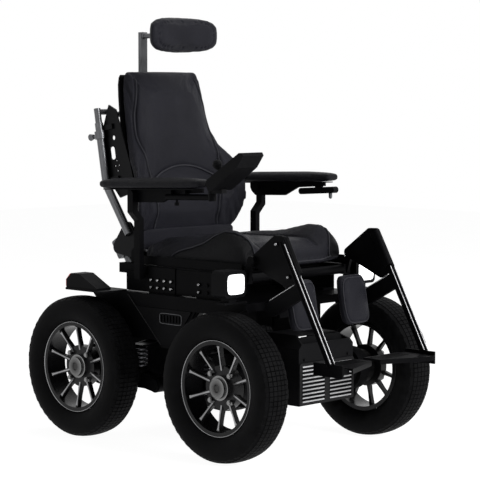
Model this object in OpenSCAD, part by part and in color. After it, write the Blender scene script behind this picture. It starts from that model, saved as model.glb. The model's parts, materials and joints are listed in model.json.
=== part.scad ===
// All terrain power chair: four driven wheels on sprung arms, a battery chassis, a bolted seat, a reclining
// back with headrest, flip-up armrests with a joystick, and elevating legrests with footplates.
// The chair faces -Y, its left side is +X and +Z is up. The origin is on the floor, under the middle of its
// length and width.

/* [Wheels] */
// Distance between the front and rear axles
wheelbase = 612; // [600:1:680]
// Distance between the left and right tyre mid-planes
track = 632; // [626:1:690]
// Outside diameter of the tyres
tyre_od = 434; // [420:1:450]
// Width of the tyres
tyre_w = 106; // [96:1:110]
// Depth of the tread grooves
tread_depth = 6; // [3:0.5:8]
// Diameter over the rim flanges
rim_d = 279; // [270:1:286]
// Width over the rim flanges
rim_w = 73; // [70:1:80]
// Number of spokes in a rim
spoke_count = 10; // [8:1:12]
// Width of a spoke at its narrowest
spoke_w = 8; // [6:0.5:12]
// Diameter of the polished hub cap
hub_cap_d = 72; // [64:1:80]
// Pitch circle of the lug nuts
lug_pcd = 108; // [102:1:112]
// Diameter of the drive shaft
axle_d = 30; // [24:1:34]

/* [Suspension] */
// Distance of the arm pivots from the middle of the wheelbase
arm_pivot_y = 60; // [50:1:70]
// Height of the arm pivots
arm_pivot_z = 175; // [168:1:182]
// Width of a swing arm
arm_w = 40; // [34:1:42]
// Height of a swing arm's beam
arm_h = 44; // [38:1:48]
// Diameter of the pivot pins
pivot_pin_d = 24; // [18:1:28]
// Diameter of a drive motor
motor_d = 104; // [90:1:110]
// Distance of the springs from the arm pivots
spring_reach = 80; // [74:1:90]
// Height of a spring between its seats
spring_len = 71; // [66:1:80]
// Outside diameter of a spring
spring_od = 48; // [42:1:52]
// Diameter of the spring wire
spring_wire = 7; // [5:0.5:8]
// Number of curls in a spring
spring_turns = 5; // [4:1:5]

/* [Chassis] */
// Width of the battery tray
tray_w = 320; // [300:1:326]
// Distance of the tray's front wall from the middle of the wheelbase
tray_front = 255; // [250:1:265]
// Distance of the tray's rear wall from the middle of the wheelbase
tray_rear = 290; // [280:1:300]
// Height of the tray's floor over the ground
tray_z = 140; // [130:1:150]
// Height of the tray's walls
tray_h = 160; // [150:1:170]
// Thickness of the frame's sheet metal
sheet = 4; // [3:0.5:5]
// Height of the deck's top over the tyres
deck_gap = 18; // [18:1:30]
// Depth of the deck's folded sides
deck_fold = 40; // [30:1:45]
// Width of the front cover
cover_w = 238; // [220:1:260]
// Height of the front cover
cover_h = 200; // [190:1:215]
// Reach of the front cover ahead of the tray
cover_reach = 158; // [140:1:164]
// Number of louvres in the front grille
louvres = 9; // [6:1:10]

/* [Lamps] */
// Width of a headlamp lens
lamp_w = 68; // [56:1:74]
// Height of a headlamp lens
lamp_h = 57; // [48:1:64]
// Width of a tail lamp housing
tail_w = 58; // [44:1:64]

/* [Seat] */
// Height of the seat frame's top over the deck
seat_rise = 83; // [76:1:95]
// Distance between the centres of the seat frame's side rails
rail_span = 430; // [424:1:436]
// Side of a seat rail's square tube
rail_s = 30; // [26:1:32]
// Width of the seat cushion
seat_w = 450; // [420:1:456]
// Length of the seat cushion
seat_l = 442; // [420:1:448]
// Thickness of the seat cushion at its middle
seat_t = 70; // [62:1:78]
// Height of the thigh bolsters over the cushion's middle
bolster_h = 60; // [40:1:66]

/* [Back] */
// Lean of the back at rest
back_rake = 10.3; // [8:0.1:12]
// Length of the back cushion
back_l = 528; // [500:1:534]
// Thickness of the back cushion
back_t = 45; // [38:1:48]
// Forward reach of the side wings
wing_reach = 86; // [60:1:92]
// Thickness of the back shell
shell_t = 19; // [14:1:22]
// Distance between the centres of the back posts
post_span = 400; // [396:1:404]
// Diameter of the back posts
post_d = 26; // [25:0.5:30]
// Diameter of the push bar's legs
push_leg_d = 21; // [18:0.5:21]

/* [Headrest] */
// Width of the headrest pad
head_w = 286; // [240:1:300]
// Height of the headrest pad
head_h = 120; // [100:1:130]
// Thickness of the headrest pad
head_t = 52; // [44:1:60]
// Height of the tilting joint over the recline joint
head_rise = 667; // [655:1:690]

/* [Armrests] */
// Distance between the centres of the arm pads
arm_span = 560; // [556:1:590]
// Length of the arm pads
pad_l = 440; // [400:1:446]
// Width of the arm pads
pad_w = 70; // [56:1:72]
// Thickness of the arm pads
pad_t = 31; // [26:1:36]
// Height of the armrest joints over the seat frame's top
arm_rise = 216; // [205:1:240]
// Upward slope of the armrests towards the front
arm_slope = 2; // [0:0.5:3]

/* [Joystick] */
// Length of the joystick housing
joy_l = 172; // [160:1:180]
// Width of the joystick housing
joy_w = 84; // [76:1:86]
// Thickness of the joystick housing
joy_t = 32; // [30:1:36]
// Upward tilt of the joystick housing
joy_tilt = 30; // [24:1:34]

/* [Legrests] */
// Distance between the centres of the leg rails
leg_span = 412; // [410:1:416]
// Lean of the leg rails from the vertical
leg_rake = 28.5; // [26:0.5:31]
// Length of the leg rails
leg_l = 383; // [370:1:400]
// Width of the leg rails
leg_w = 18; // [16:1:22]
// Width of the calf pads
calf_w = 120; // [100:1:124]
// Height of the calf pads
calf_h = 152; // [130:1:170]
// Thickness of the calf pads
calf_t = 36; // [30:1:42]
// Lean of the calf pads from the vertical
calf_rake = 11; // [6:1:16]
// Depth of the footplates from heel to toe
foot_l = 128; // [122:1:140]
// Width of a footplate
foot_w = 156; // [130:1:160]
// Height of the footplates' folded edges
foot_lip = 14; // [13:1:24]
// How much shallower a footplate is at its inner end
foot_taper = 64; // [40:1:70]

/* [Hidden] */
$fn = 48;
// Running clearance of a shaft in its bore, and the gap between still faces and between moving ones
run = 0.05;
seat_gap = 0.2;
move_gap = 0.5;
eps = 0.01;
hair = 0.1;

LEFT = 1;
RIGHT = -1;
FRONT = -1;
REAR = 1;
// Each wheel corner has a name, a side and an end
CORNERS = [["front_left", LEFT, FRONT], ["front_right", RIGHT, FRONT],
           ["rear_left", LEFT, REAR], ["rear_right", RIGHT, REAR]];
SIDES = [["left", LEFT], ["right", RIGHT]];

// Wheels
tyre_r = tyre_od / 2;
axle_z = tyre_r;
rim_flange = 7.5;
rim_lip = 5;
rim_wall = 6;
seat_r = rim_d / 2 - rim_flange;
bead_w = rim_w - 2 * rim_lip - 9;
disc_face = 11;
disc_back = -14;
disc_r = lug_pcd / 2 + 10;
lug_d = 17;
lug_h = 13;
cap_h = 22;
motor_face = -30;
motor_back = -144;
shaft_end = -70;

// Places across the chassis, measured from the middle
tyre_inner_x = track / 2 - tyre_w / 2;
deck_x = tyre_inner_x - 8;
arm_x1 = deck_x - 10;
arm_x0 = arm_x1 - arm_w;
panel_t = 8;
tray_x = tray_w / 2;
tray_top = tray_z + tray_h;

// Heights up the chassis
deck_z = tyre_od + deck_gap;
deck_t = 5;
deck_front_y = -(wheelbase / 2 + 24);
deck_rear_y = wheelbase / 2 - 106;
spring_bracket_z = 285;
cup_z = spring_bracket_z - spring_len;
axle_y = wheelbase / 2;

// Seat
rail_x = rail_span / 2;
rail_top = deck_z + seat_rise;
rail_bot = rail_top - rail_s;
rail_front_y = -305;
rail_rear_y = 232;
cushion_z = rail_top + 1;
cushion_front_y = -294;

// Back
recline_y = 175;
recline_z = rail_top + 30;
hinge_pin_d = 16;
hinge_in = 11;
gear_at = [96, 30];
cushion_bot = 40;
front_y = -14;
post_y = 108;
post_foot = [34, 62];
post_knee = 225;
post_top = 420;
post_x = post_span / 2;
bar_z = 455;
leg_foot = 240;
shell_y = front_y + back_t + 1.4;
spine_y = shell_y + shell_t;

// Headrest
stem_y = 370;
stem_w = 26;
stem_t = 14;
stem_foot = recline_z + 375;
tilt_z = recline_z + head_rise;
tilt_y = 266;
socket_z = recline_z + 466;
socket_h = 46;

// Armrests
arm_x = arm_span / 2;
arm_pivot_back_y = 118;
arm_joint_z = rail_top + arm_rise;
arm_pin_d = 14;
beam_t = 8;
beam_x = -18;
pad_base = 17;
pad_rear = 126;
arm_post_w = 18;
arm_post_d = 24;

// Joystick
joy_tube_z = -8;
joy_tube_d = 18;
joy_pivot_y = -340;
joy_pin_d = 10;
joy_ball = 8;
joy_base_y = 62;

// Legrests
leg_x = leg_span / 2;
leg_joint_y = -318;
leg_joint_z = rail_top + 38;
leg_pin_d = 16;
leg_top_y = leg_joint_y - 112;
leg_top_z = leg_joint_z + 62;
leg_d = 18;
rail_groove = 5;
plate_t = 8;
calf_arm_at = 152;
calf_arm_h = 46;
calf_drop = 131;
calf_x = 112;
calf_pin_d = 10;
foot_hinge_x = leg_x - 22;
foot_pin_d = 10;
foot_y = leg_top_y - leg_l * sin(leg_rake);
foot_z = leg_top_z - leg_l * cos(leg_rake) - 14;
heel_y = foot_y + foot_l - 54;
toe_y = heel_y - foot_l;

// The origin lies under the middle of the length, between the toes and the rear tyres
rear_reach = axle_y + tyre_r;
axle_mid_y = -(rear_reach + toe_y) / 2;

// Shared shapes

// Moves the chair from the middle of its wheelbase to the middle of its length
module chair() translate([0, axle_mid_y, 0]) children();

// Draws the left side's shape on either side
module on_side(side) mirror([side < 0 ? 1 : 0, 0, 0]) children();

// A rectangle with round corners, centred
module round_rect(w, h, r) {
    square([w - 2 * r, h], center = true);
    square([w, h - 2 * r], center = true);
    for (i = [-1, 1], j = [-1, 1]) translate([i * (w / 2 - r), j * (h / 2 - r)]) circle(r);
}

// A straight bar with round ends between two flat points; its waist can be a hair slimmer than the ends
module bar2d(a, b, w, waist = 0) {
    d = b - a;
    translate(a) rotate(atan2(d[1], d[0])) translate([0, waist - w / 2]) square([norm(d), w - 2 * waist]);
    for (p = [a, b]) translate(p) circle(d = w);
}

// An outline grown by a round edge
module fat_outline(points, r) {
    n = len(points);
    polygon(points);
    for (i = [0:n - 1]) bar2d(points[i], points[(i + 1) % n], 2 * r, hair);
}

// A plate in the side view: flat (y, z) outlines from x0 to x1
module side_plate(x0, x1) translate([x0, 0, 0]) rotate([90, 0, 90]) linear_extrude(x1 - x0) children();

// A plate in the front view: flat (x, z) outlines from y0 to y1
module front_plate(y0, y1) translate([0, y1, 0]) rotate([90, 0, 0]) linear_extrude(y1 - y0) children();

// A box by its lowest and highest corners
module box(lo, hi) translate(lo) cube(hi - lo);

// A round bar from one point to another
module rod(a, b, d) {
    v = b - a;
    l = norm(v);
    translate(a) rotate([0, acos(v[2] / l), atan2(v[1], v[0])]) cylinder(d = d, h = l);
}

// A round bar across the chair
module cross_rod(x0, x1, d) translate([x0, 0, 0]) rotate([0, 90, 0]) cylinder(d = d, h = x1 - x0);

// A closed skin over rings of points that all have the same, even count; its flat ends are zipped shut between
// opposite sides
module loft(rings) {
    n = len(rings);
    m = len(rings[0]);
    half = m / 2;
    skin = [for (i = [0:n - 2], j = [0:m - 1])
            let (a = i * m + j, b = i * m + (j + 1) % m) each [[a, a + m, b], [b, a + m, b + m]]];
    zip = concat([[0, 1, m - 1], [half - 1, half, half + 1]],
                 [for (j = [1:half - 2]) each [[j, j + 1, m - j], [j + 1, m - j - 1, m - j]]]);
    last = [for (f = zip) [for (v = [f[2], f[1], f[0]]) v + (n - 1) * m]];
    polyhedron([for (r = rings) each r], concat(skin, zip, last), convexity = 8);
}

// A signed power, which squares up a circle for exponents under one
function squared(v, e) = sign(v) * pow(abs(v), e);
// Stations from 0 to 1, closer together at both ends
function stations(n) = [for (i = [0:n]) (1 - cos(180 * i / n)) / 2];
// How far a soft form has closed at a station: 1 along its length, rounding off to its ends
function closing(t, e = 6) = pow(max(1 - pow(abs(2 * t - 1), e), 0.004), 1 / 3);
// A bump of height 1 about c, w wide
function bump(v, c, w) = exp(-pow((v - c) / w, 2));
// Stands a station's frame at a wheel, +Z pointing outboard
module at_wheel(side, end)
    translate([side * track / 2, end * axle_y, axle_z]) rotate([0, side * 90, 0]) children();

// Wheels

module tyre_section() {
    shoulder_r = 34;
    step = 9;
    groove_w = 7;
    groove_step = 21;
    half = concat([[seat_r + seat_gap, bead_w / 2]],
                  [for (a = [90:-step:0]) [tyre_r - shoulder_r + shoulder_r * cos(a),
                                           tyre_w / 2 - shoulder_r + shoulder_r * sin(a)]]);
    n = len(half);
    difference() {
        polygon(concat(half, [for (i = [n - 1:-1:0]) [half[i][0], -half[i][1]]]));
        for (i = [-1:1])
            translate([tyre_r - tread_depth, i * groove_step - groove_w / 2]) square([tread_depth + 1, groove_w]);
    }
}

module tyre(side, end) color("#151516") at_wheel(side, end) rotate_extrude($fn = 96) tyre_section();

module spoke() {
    root_r = disc_r - 10;
    run_out = seat_r - rim_wall / 2 - root_r;
    thick = 13;
    dish = 15;
    translate([root_r, 0, disc_face - thick])
        rotate([0, -atan(dish / run_out), 0])
            linear_extrude(thick)
                polygon([[-8, spoke_w * 0.9], [run_out * 0.5, spoke_w / 2], [run_out, spoke_w * 0.7],
                         [run_out, -spoke_w * 0.7], [run_out * 0.5, -spoke_w / 2], [-8, -spoke_w * 0.9]]);
}

module rim(side, end) color("#2a2b2e") at_wheel(side, end)
    difference() {
        union() {
            rotate_extrude($fn = 96) {
                translate([seat_r - rim_wall, -rim_w / 2]) square([rim_wall, rim_w]);
                for (z = [-1, 1]) translate([rim_d / 2 - rim_flange / 2 - 1.5, z * (rim_w / 2 - rim_lip / 2)])
                    round_rect(rim_flange + 3, rim_lip, 2.2);
            }
            translate([0, 0, disc_back]) cylinder(r = disc_r, h = disc_face - disc_back);
            for (i = [0:spoke_count - 1]) rotate(i * 360 / spoke_count) spoke();
        }
        translate([0, 0, disc_back - 1]) cylinder(d = axle_d + 2 * run, h = disc_face - disc_back + 2);
        for (i = [0:3]) rotate(45 + 90 * i) translate([lug_pcd / 2, 0, disc_face]) cylinder(d = lug_d + 3, h = lug_h);
    }

module hub(side, end) color("#c9cacc") at_wheel(side, end) {
    translate([0, 0, shaft_end]) cylinder(d = axle_d, h = disc_face - shaft_end + 1);
    translate([0, 0, disc_face]) rotate_extrude()
        polygon([[0, 0], [hub_cap_d / 2, 0], [hub_cap_d / 2, cap_h * 0.55], [hub_cap_d / 2 - 2, cap_h * 0.6],
                 [hub_cap_d / 2 - 6, cap_h * 0.6], [hub_cap_d / 2 - 7, cap_h * 0.95],
                 [hub_cap_d / 2 - 9, cap_h], [12, cap_h], [10, cap_h - 3], [0, cap_h - 3]]);
    for (i = [0:3]) rotate(45 + 90 * i) translate([lug_pcd / 2, 0, disc_face]) {
        cylinder(d = lug_d, h = lug_h - 3, $fn = 6);
        cylinder(d = lug_d * 0.7, h = lug_h);
    }
}

// Suspension

module swing_arm(side, end) color("#222326") {
    bore_d = motor_d + 2 * seat_gap;
    on_side(side) difference() {
        union() {
            side_plate(arm_x0, arm_x1) {
                bar2d([end * arm_pivot_y, arm_pivot_z], [end * axle_y, axle_z], arm_h);
                translate([end * arm_pivot_y, arm_pivot_z]) circle(d = pivot_pin_d + 22);
                translate([end * axle_y, axle_z]) circle(d = motor_d + 26);
            }
            translate([(arm_x0 + arm_x1) / 2, end * (arm_pivot_y + spring_reach), arm_pivot_z + 8]) {
                cylinder(d = spring_od + 6, h = cup_z - arm_pivot_z - 8);
                cylinder(d = spring_od - 2 * spring_wire - 4, h = cup_z - arm_pivot_z + 2);
            }
        }
        translate([0, end * axle_y, axle_z]) cross_rod(arm_x0 - 1, arm_x1 + 1, bore_d);
        translate([0, end * arm_pivot_y, arm_pivot_z]) cross_rod(arm_x0 - 1, arm_x1 + 1, pivot_pin_d + 2 * run);
    }
    at_wheel(side, end) drive_motor();
}

module drive_motor() difference() {
    union() {
        rotate_extrude() polygon([[0, motor_back], [motor_d / 2 - 8, motor_back], [motor_d / 2 - 6, motor_back + 2],
                                  [motor_d / 2 - 6, motor_back + 18], [motor_d / 2, motor_back + 20],
                                  [motor_d / 2, motor_face], [motor_d / 2 - 12, motor_face],
                                  [motor_d / 2 - 14, motor_face + 8], [0, motor_face + 8]]);
    }
    translate([0, 0, shaft_end - 2]) cylinder(d = axle_d + 2 * run, h = motor_face + 10 - shaft_end);
}

// The curls rise slowly through the two end turns, which lie flat on their seats
function spring_z(turn) =
    let (end_pitch = spring_wire + 0.9,
         mid_pitch = (spring_len - 2 * seat_gap - spring_wire - 2 * end_pitch) / (spring_turns - 2))
    turn < 1 ? turn * end_pitch
    : turn < spring_turns - 1 ? end_pitch + (turn - 1) * mid_pitch
    : end_pitch + (spring_turns - 2) * mid_pitch + (turn - spring_turns + 1) * end_pitch;
spring_steps = 8;
spring_sides = 6;
spring_path_r = (spring_od - spring_wire) / 2;
spring_path = [for (i = [0:spring_turns * spring_steps]) let (a = 360 * i / spring_steps)
    [spring_path_r * cos(a), spring_path_r * sin(a),
     cup_z + seat_gap + spring_wire / 2 + spring_z(i / spring_steps)]];
spring_gap = min([for (i = [0:len(spring_path) - 1], j = [0:len(spring_path) - 1])
    if (j > i + spring_steps / 2) norm(spring_path[i] - spring_path[j])]) - spring_wire;
echo("least gap between the curls of a spring", spring_gap);

module spring(side, end) color("#6d7075")
    translate([side * (arm_x0 + arm_x1) / 2, end * (arm_pivot_y + spring_reach), 0])
        loft([for (i = [0:len(spring_path) - 1]) let (a = 360 * i / spring_steps, p = spring_path[i])
            [for (j = [0:spring_sides - 1]) let (b = 360 * j / spring_sides)
                p + spring_wire / 2 * [cos(b) * cos(a), cos(b) * sin(a), -sin(b)]]]);

// Chassis

module chassis_frame() color("#1b1c1e") {
    difference() {
        union() {
            box([-tray_x, -tray_front, tray_z], [tray_x, tray_rear, tray_top]);
            for (side = [LEFT, RIGHT], end = [FRONT, REAR]) on_side(side) {
                pivot_pin(end);
                spring_bracket(end);
            }
        }
        box([-tray_x + sheet, -tray_front + sheet, tray_z + sheet],
            [tray_x - sheet, tray_rear - sheet, tray_top + 1]);
    }
}

// Stands on four uprights that are bolted inside the tray
module deck() color("#1b1c1e") difference() {
    upright = 30;
    foot_x = tray_x - sheet - seat_gap;
    union() {
        for (side = [LEFT, RIGHT], y = [-tray_front + sheet + seat_gap, deck_rear_y - upright])
            on_side(side) box([foot_x - upright, y, tray_top - 40], [foot_x, y + upright, deck_z - 1]);
        box([-deck_x, deck_front_y, deck_z - deck_t], [deck_x, deck_rear_y, deck_z]);
        for (side = [LEFT, RIGHT])
            on_side(side) box([deck_x - sheet, deck_front_y, deck_z - deck_fold], [deck_x, deck_rear_y, deck_z]);
        box([-deck_x, deck_front_y, deck_z - deck_fold * 0.6], [deck_x, deck_front_y + sheet, deck_z]);
    }
    for (side = [LEFT, RIGHT]) on_side(side)
        side_plate(deck_x - sheet - 1, deck_x + 1)
            polygon([[deck_front_y - 1, deck_z - deck_fold - 1], [deck_front_y - 1, deck_z - 16],
                     [deck_front_y + 60, deck_z - deck_fold - 1]]);
}

module pivot_pin(end) translate([0, end * arm_pivot_y, arm_pivot_z]) {
    collar = pivot_pin_d + 14;
    cross_rod(tray_x - sheet / 2, arm_x1 + move_gap + 5, pivot_pin_d);
    cross_rod(tray_x - sheet / 2, arm_x0 - move_gap, collar);
    cross_rod(arm_x1 + move_gap, arm_x1 + move_gap + 5, collar);
}

module spring_bracket(end) {
    y = end * (arm_pivot_y + spring_reach);
    half = spring_od / 2 + 4;
    plate_z = 6;
    box([tray_x - sheet / 2, y - half, spring_bracket_z], [arm_x1, y + half, spring_bracket_z + plate_z]);
    for (dy = [-half, half - sheet]) translate([0, y + dy + sheet, 0]) rotate([90, 0, 0]) linear_extrude(sheet)
        polygon([[tray_x - sheet / 2, spring_bracket_z + plate_z - 1], [arm_x1 - 20, spring_bracket_z + plate_z - 1],
                 [tray_x - sheet / 2, tray_z + tray_h]]);
}

tie_x = 140;
tie_z = 205;
tie_out = 20;
tie_t = 8;
tie_w = 36;
tie_bore = 20;
module tie_downs() color("#1b1c1e") for (side = [LEFT, RIGHT]) on_side(side) {
    tie_down(-tray_front, -1);
    tie_down(tray_rear, 1);
}

// An eye on a flange that is bolted to the tray's end wall
module tie_down(wall_y, dir) difference() {
    flange_t = 5;
    flange_h = 44;
    union() {
        translate([tie_x - tie_w / 2, wall_y + dir * (seat_gap + flange_t / 2) - flange_t / 2, tie_z - flange_h / 2])
            cube([tie_w, flange_t, flange_h]);
        translate([tie_x, wall_y + dir * tie_out, tie_z - tie_t / 2]) linear_extrude(tie_t) {
            circle(d = tie_w);
            translate([-tie_w / 2 + hair, dir > 0 ? 2 - tie_out : 0]) square([tie_w - 2 * hair, tie_out - 2]);
        }
    }
    translate([tie_x, wall_y + dir * tie_out, tie_z - tie_t]) cylinder(d = tie_bore, h = 2 * tie_t);
}

module side_panels() color("#161719") for (side = [LEFT, RIGHT]) on_side(side) {
    slot_w = 6;
    slot_step = 13;
    difference() {
        union() {
            side_plate(deck_x - sheet - panel_t, deck_x - sheet) panel_outline(0);
            side_plate(deck_x - sheet - eps, deck_x + 2) intersection() {
                panel_outline(10);
                translate([-wheelbase / 2, 0]) square([wheelbase, deck_z - deck_fold - 1]);
            }
        }
        for (i = [0:6])
            translate([0, -62 + i * slot_step, deck_z - deck_fold - 29])
                side_plate(deck_x - sheet - panel_t - 1, deck_x + 3) round_rect(slot_w, 22, 2.9);
    }
}

// Narrows downwards between the two wheels
module panel_outline(inset) polygon([[deck_rear_y - 25 - inset, deck_z - deck_t - seat_gap],
    [arm_pivot_y - 38 - inset / 2, spring_bracket_z + 8 + inset], [-35 + inset / 2, spring_bracket_z + 8 + inset],
    [-118 + inset, deck_z - deck_fold - 4], [-118 + inset, deck_z - deck_t - seat_gap]]);

cover_y = -tray_front - cover_reach;
cover_z = 150;
module cover_outline(w, h, c) polygon([[-w / 2, 0], [w / 2, 0], [w / 2, h - c], [w / 2 - c, h], [-w / 2 + c, h],
                                       [-w / 2, h - c]]);

module front_cover() color("#1d1e21") {
    wall_t = 3;
    chamfer = 34;
    brow = 22;
    difference() {
        union() {
            translate([0, 0, cover_z]) front_plate(cover_y, -tray_front) cover_outline(cover_w, cover_h, chamfer);
            for (i = [-1:1]) translate([i * cover_w * 0.4, cover_y, cover_z + cover_h * 0.67])
                rotate([90, 0, 0]) cylinder(d = 8, h = 4);
        }
        translate([0, 0, cover_z + wall_t]) front_plate(cover_y + wall_t, -tray_front + 1)
            cover_outline(cover_w - 2 * wall_t, cover_h - 2 * wall_t, chamfer);
        translate([0, 0, cover_z + cover_h]) rotate([0, 90, 0]) linear_extrude(cover_w + 2, center = true)
            polygon([[-1, cover_y - 1], [brow, cover_y - 1], [-1, cover_y + 2 * brow]]);
    }
    translate([0, 0, cover_z]) front_plate(cover_y + brow, cover_y + brow + wall_t) difference() {
        cover_outline(cover_w - wall_t, cover_h - wall_t, chamfer);
        translate([0, cover_h * 0.3]) square([cover_w * 0.7, cover_h * 0.4], center = true);
    }
}

module front_grille() color("#b9bcc0") {
    plate_h = 124;
    plate_d = 4;
    step = (plate_h - 22) / louvres;
    slot_l = cover_w / 2 - 26;
    difference() {
        translate([0, 0, cover_z + plate_h / 2 + 1]) front_plate(cover_y - plate_d, cover_y)
            round_rect(cover_w, plate_h, 8);
        for (i = [0:louvres - 1], side = [-1, 1])
            translate([side * cover_w / 4, 0, cover_z + 12 + (i + 0.5) * step])
                front_plate(cover_y - plate_d - 1, cover_y + 1)
                    bar2d([-slot_l / 2, 0], [slot_l / 2, 0], step / 2, hair);
    }
}

module battery_pack() color("#3a3d42") {
    gap = 6;
    case_h = tray_h - 24;
    for (y = [[-tray_front + sheet + gap, 12], [18, tray_rear - sheet - gap]]) {
        box([-tray_x + 42, y[0], tray_z + sheet], [tray_x - 42, y[1], tray_z + sheet + case_h]);
        for (x = [-70, 70]) translate([x, (y[0] + y[1]) / 2, tray_z + sheet + case_h - eps]) cylinder(d = 18, h = 12);
    }
}

module motor_controller() color("#2b2d30") {
    fin_step = 14;
    half = 84;
    y0 = deck_front_y + 26;
    y1 = y0 + 108;
    top = deck_z - deck_t;
    box([-half, y0, top - 52], [half, y1, top - 12]);
    for (i = [0:11]) box([-half + i * fin_step + 4, y0, top - 12 - eps], [-half + i * fin_step + 9, y1, top]);
}

module rear_fenders() color("#17181a") for (side = [LEFT, RIGHT]) on_side(side) {
    x0 = deck_x - 15;
    x1 = track / 2 + 32;
    y0 = axle_y - 128;
    y1 = axle_y + 51;
    plate = 5;
    translate([(x0 + x1) / 2, (y0 + y1) / 2, deck_z]) linear_extrude(plate) round_rect(x1 - x0, y1 - y0, 14);
    translate([(x0 + x1) / 2, y0 + 3, deck_z + plate / 2]) rotate([0, 90, 0])
        cylinder(d = plate, h = x1 - x0 - 28, center = true);
    tail_lamp_housing();
}

tail_x = track / 2 - 1;
tail_back_y = axle_y + 49;
tail_foot = deck_z + 5;
module tail_lamp_housing() side_plate(tail_x - tail_w / 2, tail_x + tail_w / 2)
    polygon([[tail_back_y - 146, tail_foot - 1], [tail_back_y - 146, tail_foot + 6], [tail_back_y - 66, tail_foot + 46],
             [tail_back_y - 28, tail_foot + 46], [tail_back_y - 6, tail_foot + 26], [tail_back_y - 6, tail_foot - 1]]);

module tail_lamp_lenses() color("#c8141a") for (side = [LEFT, RIGHT]) on_side(side)
    side_plate(tail_x - tail_w / 2 + 4, tail_x + tail_w / 2 - 4)
        polygon([[tail_back_y - 5.8, tail_foot + 5], [tail_back_y - 5.8, tail_foot + 26.3],
                 [tail_back_y - 23.8, tail_foot + 42.7], [tail_back_y - 19, tail_foot + 44],
                 [tail_back_y, tail_foot + 25], [tail_back_y, tail_foot + 5]]);

lamp_x = track / 2 - 31;
lamp_y = -axle_y - 14;
lamp_z = deck_z + 59;
lamp_body = 10;
lens_in = 6;
module headlamp_housings() color("#1e2023") for (side = [LEFT, RIGHT]) on_side(side) {
    w = lamp_w + 2 * lamp_body;
    h = lamp_h + 2 * lamp_body;
    difference() {
        translate([lamp_x, 0, lamp_z]) front_plate(lamp_y, lamp_y + 54) round_rect(w, h, 14);
        translate([lamp_x, 0, lamp_z]) front_plate(lamp_y - 1, lamp_y + lens_in)
            round_rect(lamp_w + 2 * seat_gap, lamp_h + 2 * seat_gap, 12 + seat_gap);
    }
    box([deck_x - 30, lamp_y + 12, deck_z], [lamp_x + w / 2 - 12, lamp_y + 44, deck_z + 6]);
    box([lamp_x - 14, lamp_y + 12, deck_z + 5], [lamp_x + 14, lamp_y + 44, lamp_z - h / 2 + 3]);
}

module headlamp_lenses() color("#f4f8ff") for (side = [LEFT, RIGHT]) on_side(side)
    translate([lamp_x, 0, lamp_z]) front_plate(lamp_y - 2, lamp_y + lens_in - seat_gap) round_rect(lamp_w, lamp_h, 12);

// Seat

bracket_t = 6;
module seat_frame() color("#1c1d20") {
    cross_d = 28;
    cross_z = rail_top - rail_s / 2;
    for (side = [LEFT, RIGHT]) on_side(side) {
        box([rail_x - rail_s / 2, rail_front_y, rail_bot], [rail_x + rail_s / 2, rail_rear_y, rail_top]);
        for (y = [[-235, -110], [-20, 94]]) seat_bracket(y[0], y[1]);
        seat_apron();
        side_plate(rail_x - rail_s / 2 + 12, rail_x - rail_s / 2 + 22)
            fat_outline([[leg_joint_y, leg_joint_z], [rail_front_y + 4, rail_bot + 10],
                         [rail_front_y + 24, rail_bot + 10]], 8);
        translate([0, leg_joint_y, leg_joint_z]) {
            cross_rod(leg_x - plate_t / 2 - 4, rail_x - rail_s / 2 + 20, leg_pin_d);
            cross_rod(rail_x - rail_s / 2 + 11, rail_x - rail_s / 2 + 23, leg_pin_d + 12);
        }
        side_plate(rail_x - rail_s / 2 + 6, rail_x - rail_s / 2 + 16)
            bar2d([recline_y, recline_z], [recline_y, rail_top - 10], 36);
        translate([0, recline_y, recline_z])
            cross_rod(post_x - hinge_in + seat_gap, rail_x - rail_s / 2 + 8, hinge_pin_d);
    }
    for (y = [rail_front_y + 12, -110, 122]) translate([0, y, cross_z])
        cross_rod(-rail_x + rail_s / 2 - 1, rail_x - rail_s / 2 + 1, cross_d);
    box([-160, -245, rail_top - 6], [160, 140, cushion_z]);
}

module seat_bracket(y0, y1) {
    x = rail_x + rail_s / 2;
    box([x - eps, y0, deck_z], [x + bracket_t, y1, rail_top - 4]);
    box([x - 44, y0, deck_z], [x + bracket_t, y1, deck_z + 6]);
    for (i = [0:3], z = [deck_z + 18, deck_z + 40]) translate([0, y0 + 14 + i * (y1 - y0 - 28) / 3, z])
        cross_rod(x + bracket_t - eps, x + bracket_t + 4, 11);
}

// Closes the space between the seat rail and the deck, with a notch for the armrest post
module seat_apron() {
    x = rail_x + rail_s / 2;
    apron_t = 3;
    notch = 20;
    low = deck_z + 2;
    high = rail_bot + 8;
    side_plate(x - eps, x + apron_t)
        polygon([[-233, low], [deck_rear_y - 4, low], [deck_rear_y - 4, high], [arm_pivot_back_y + notch, high],
                 [arm_pivot_back_y + notch, rail_bot - 15], [arm_pivot_back_y - notch, rail_bot - 15],
                 [arm_pivot_back_y - notch, high], [92, high], [92, rail_top - 6], [-233, rail_top - 6]]);
}

module seat_cushion() color("#26272b") {
    n = 15;
    m = 36;
    drawn_in = 7;
    channel = 5;
    loft([for (t = stations(n)) let (
            k = closing(t, 12), y = cushion_front_y + t * seat_l,
            w = (seat_w / 2 - drawn_in * sin(180 * t)) * (0.82 + 0.18 * k),
            half = seat_t / 2 * k,
            mid = cushion_z + seat_gap + seat_t / 2,
            ridge = bolster_h * (bump(t, 0.18, 0.25) + 0.32 * bump(t, 0.62, 0.28)))
        [for (j = [0:m - 1]) let (
                a = 360 * j / m, s = squared(cos(a), 0.55), c = squared(-sin(a), 0.5),
                up = max(-sin(a), 0),
                side_rise = ridge * bump(abs(s), 0.84, 0.2) * pow(up, 0.4) * k,
                crown = 5 * (1 - s * s) * pow(up, 0.5) * k,
                dip = channel * bump(abs(s), 0.56, 0.06) * up * k)
            [w * s, y, mid + half * c + side_rise + crown - dip]]]);
}

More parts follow.
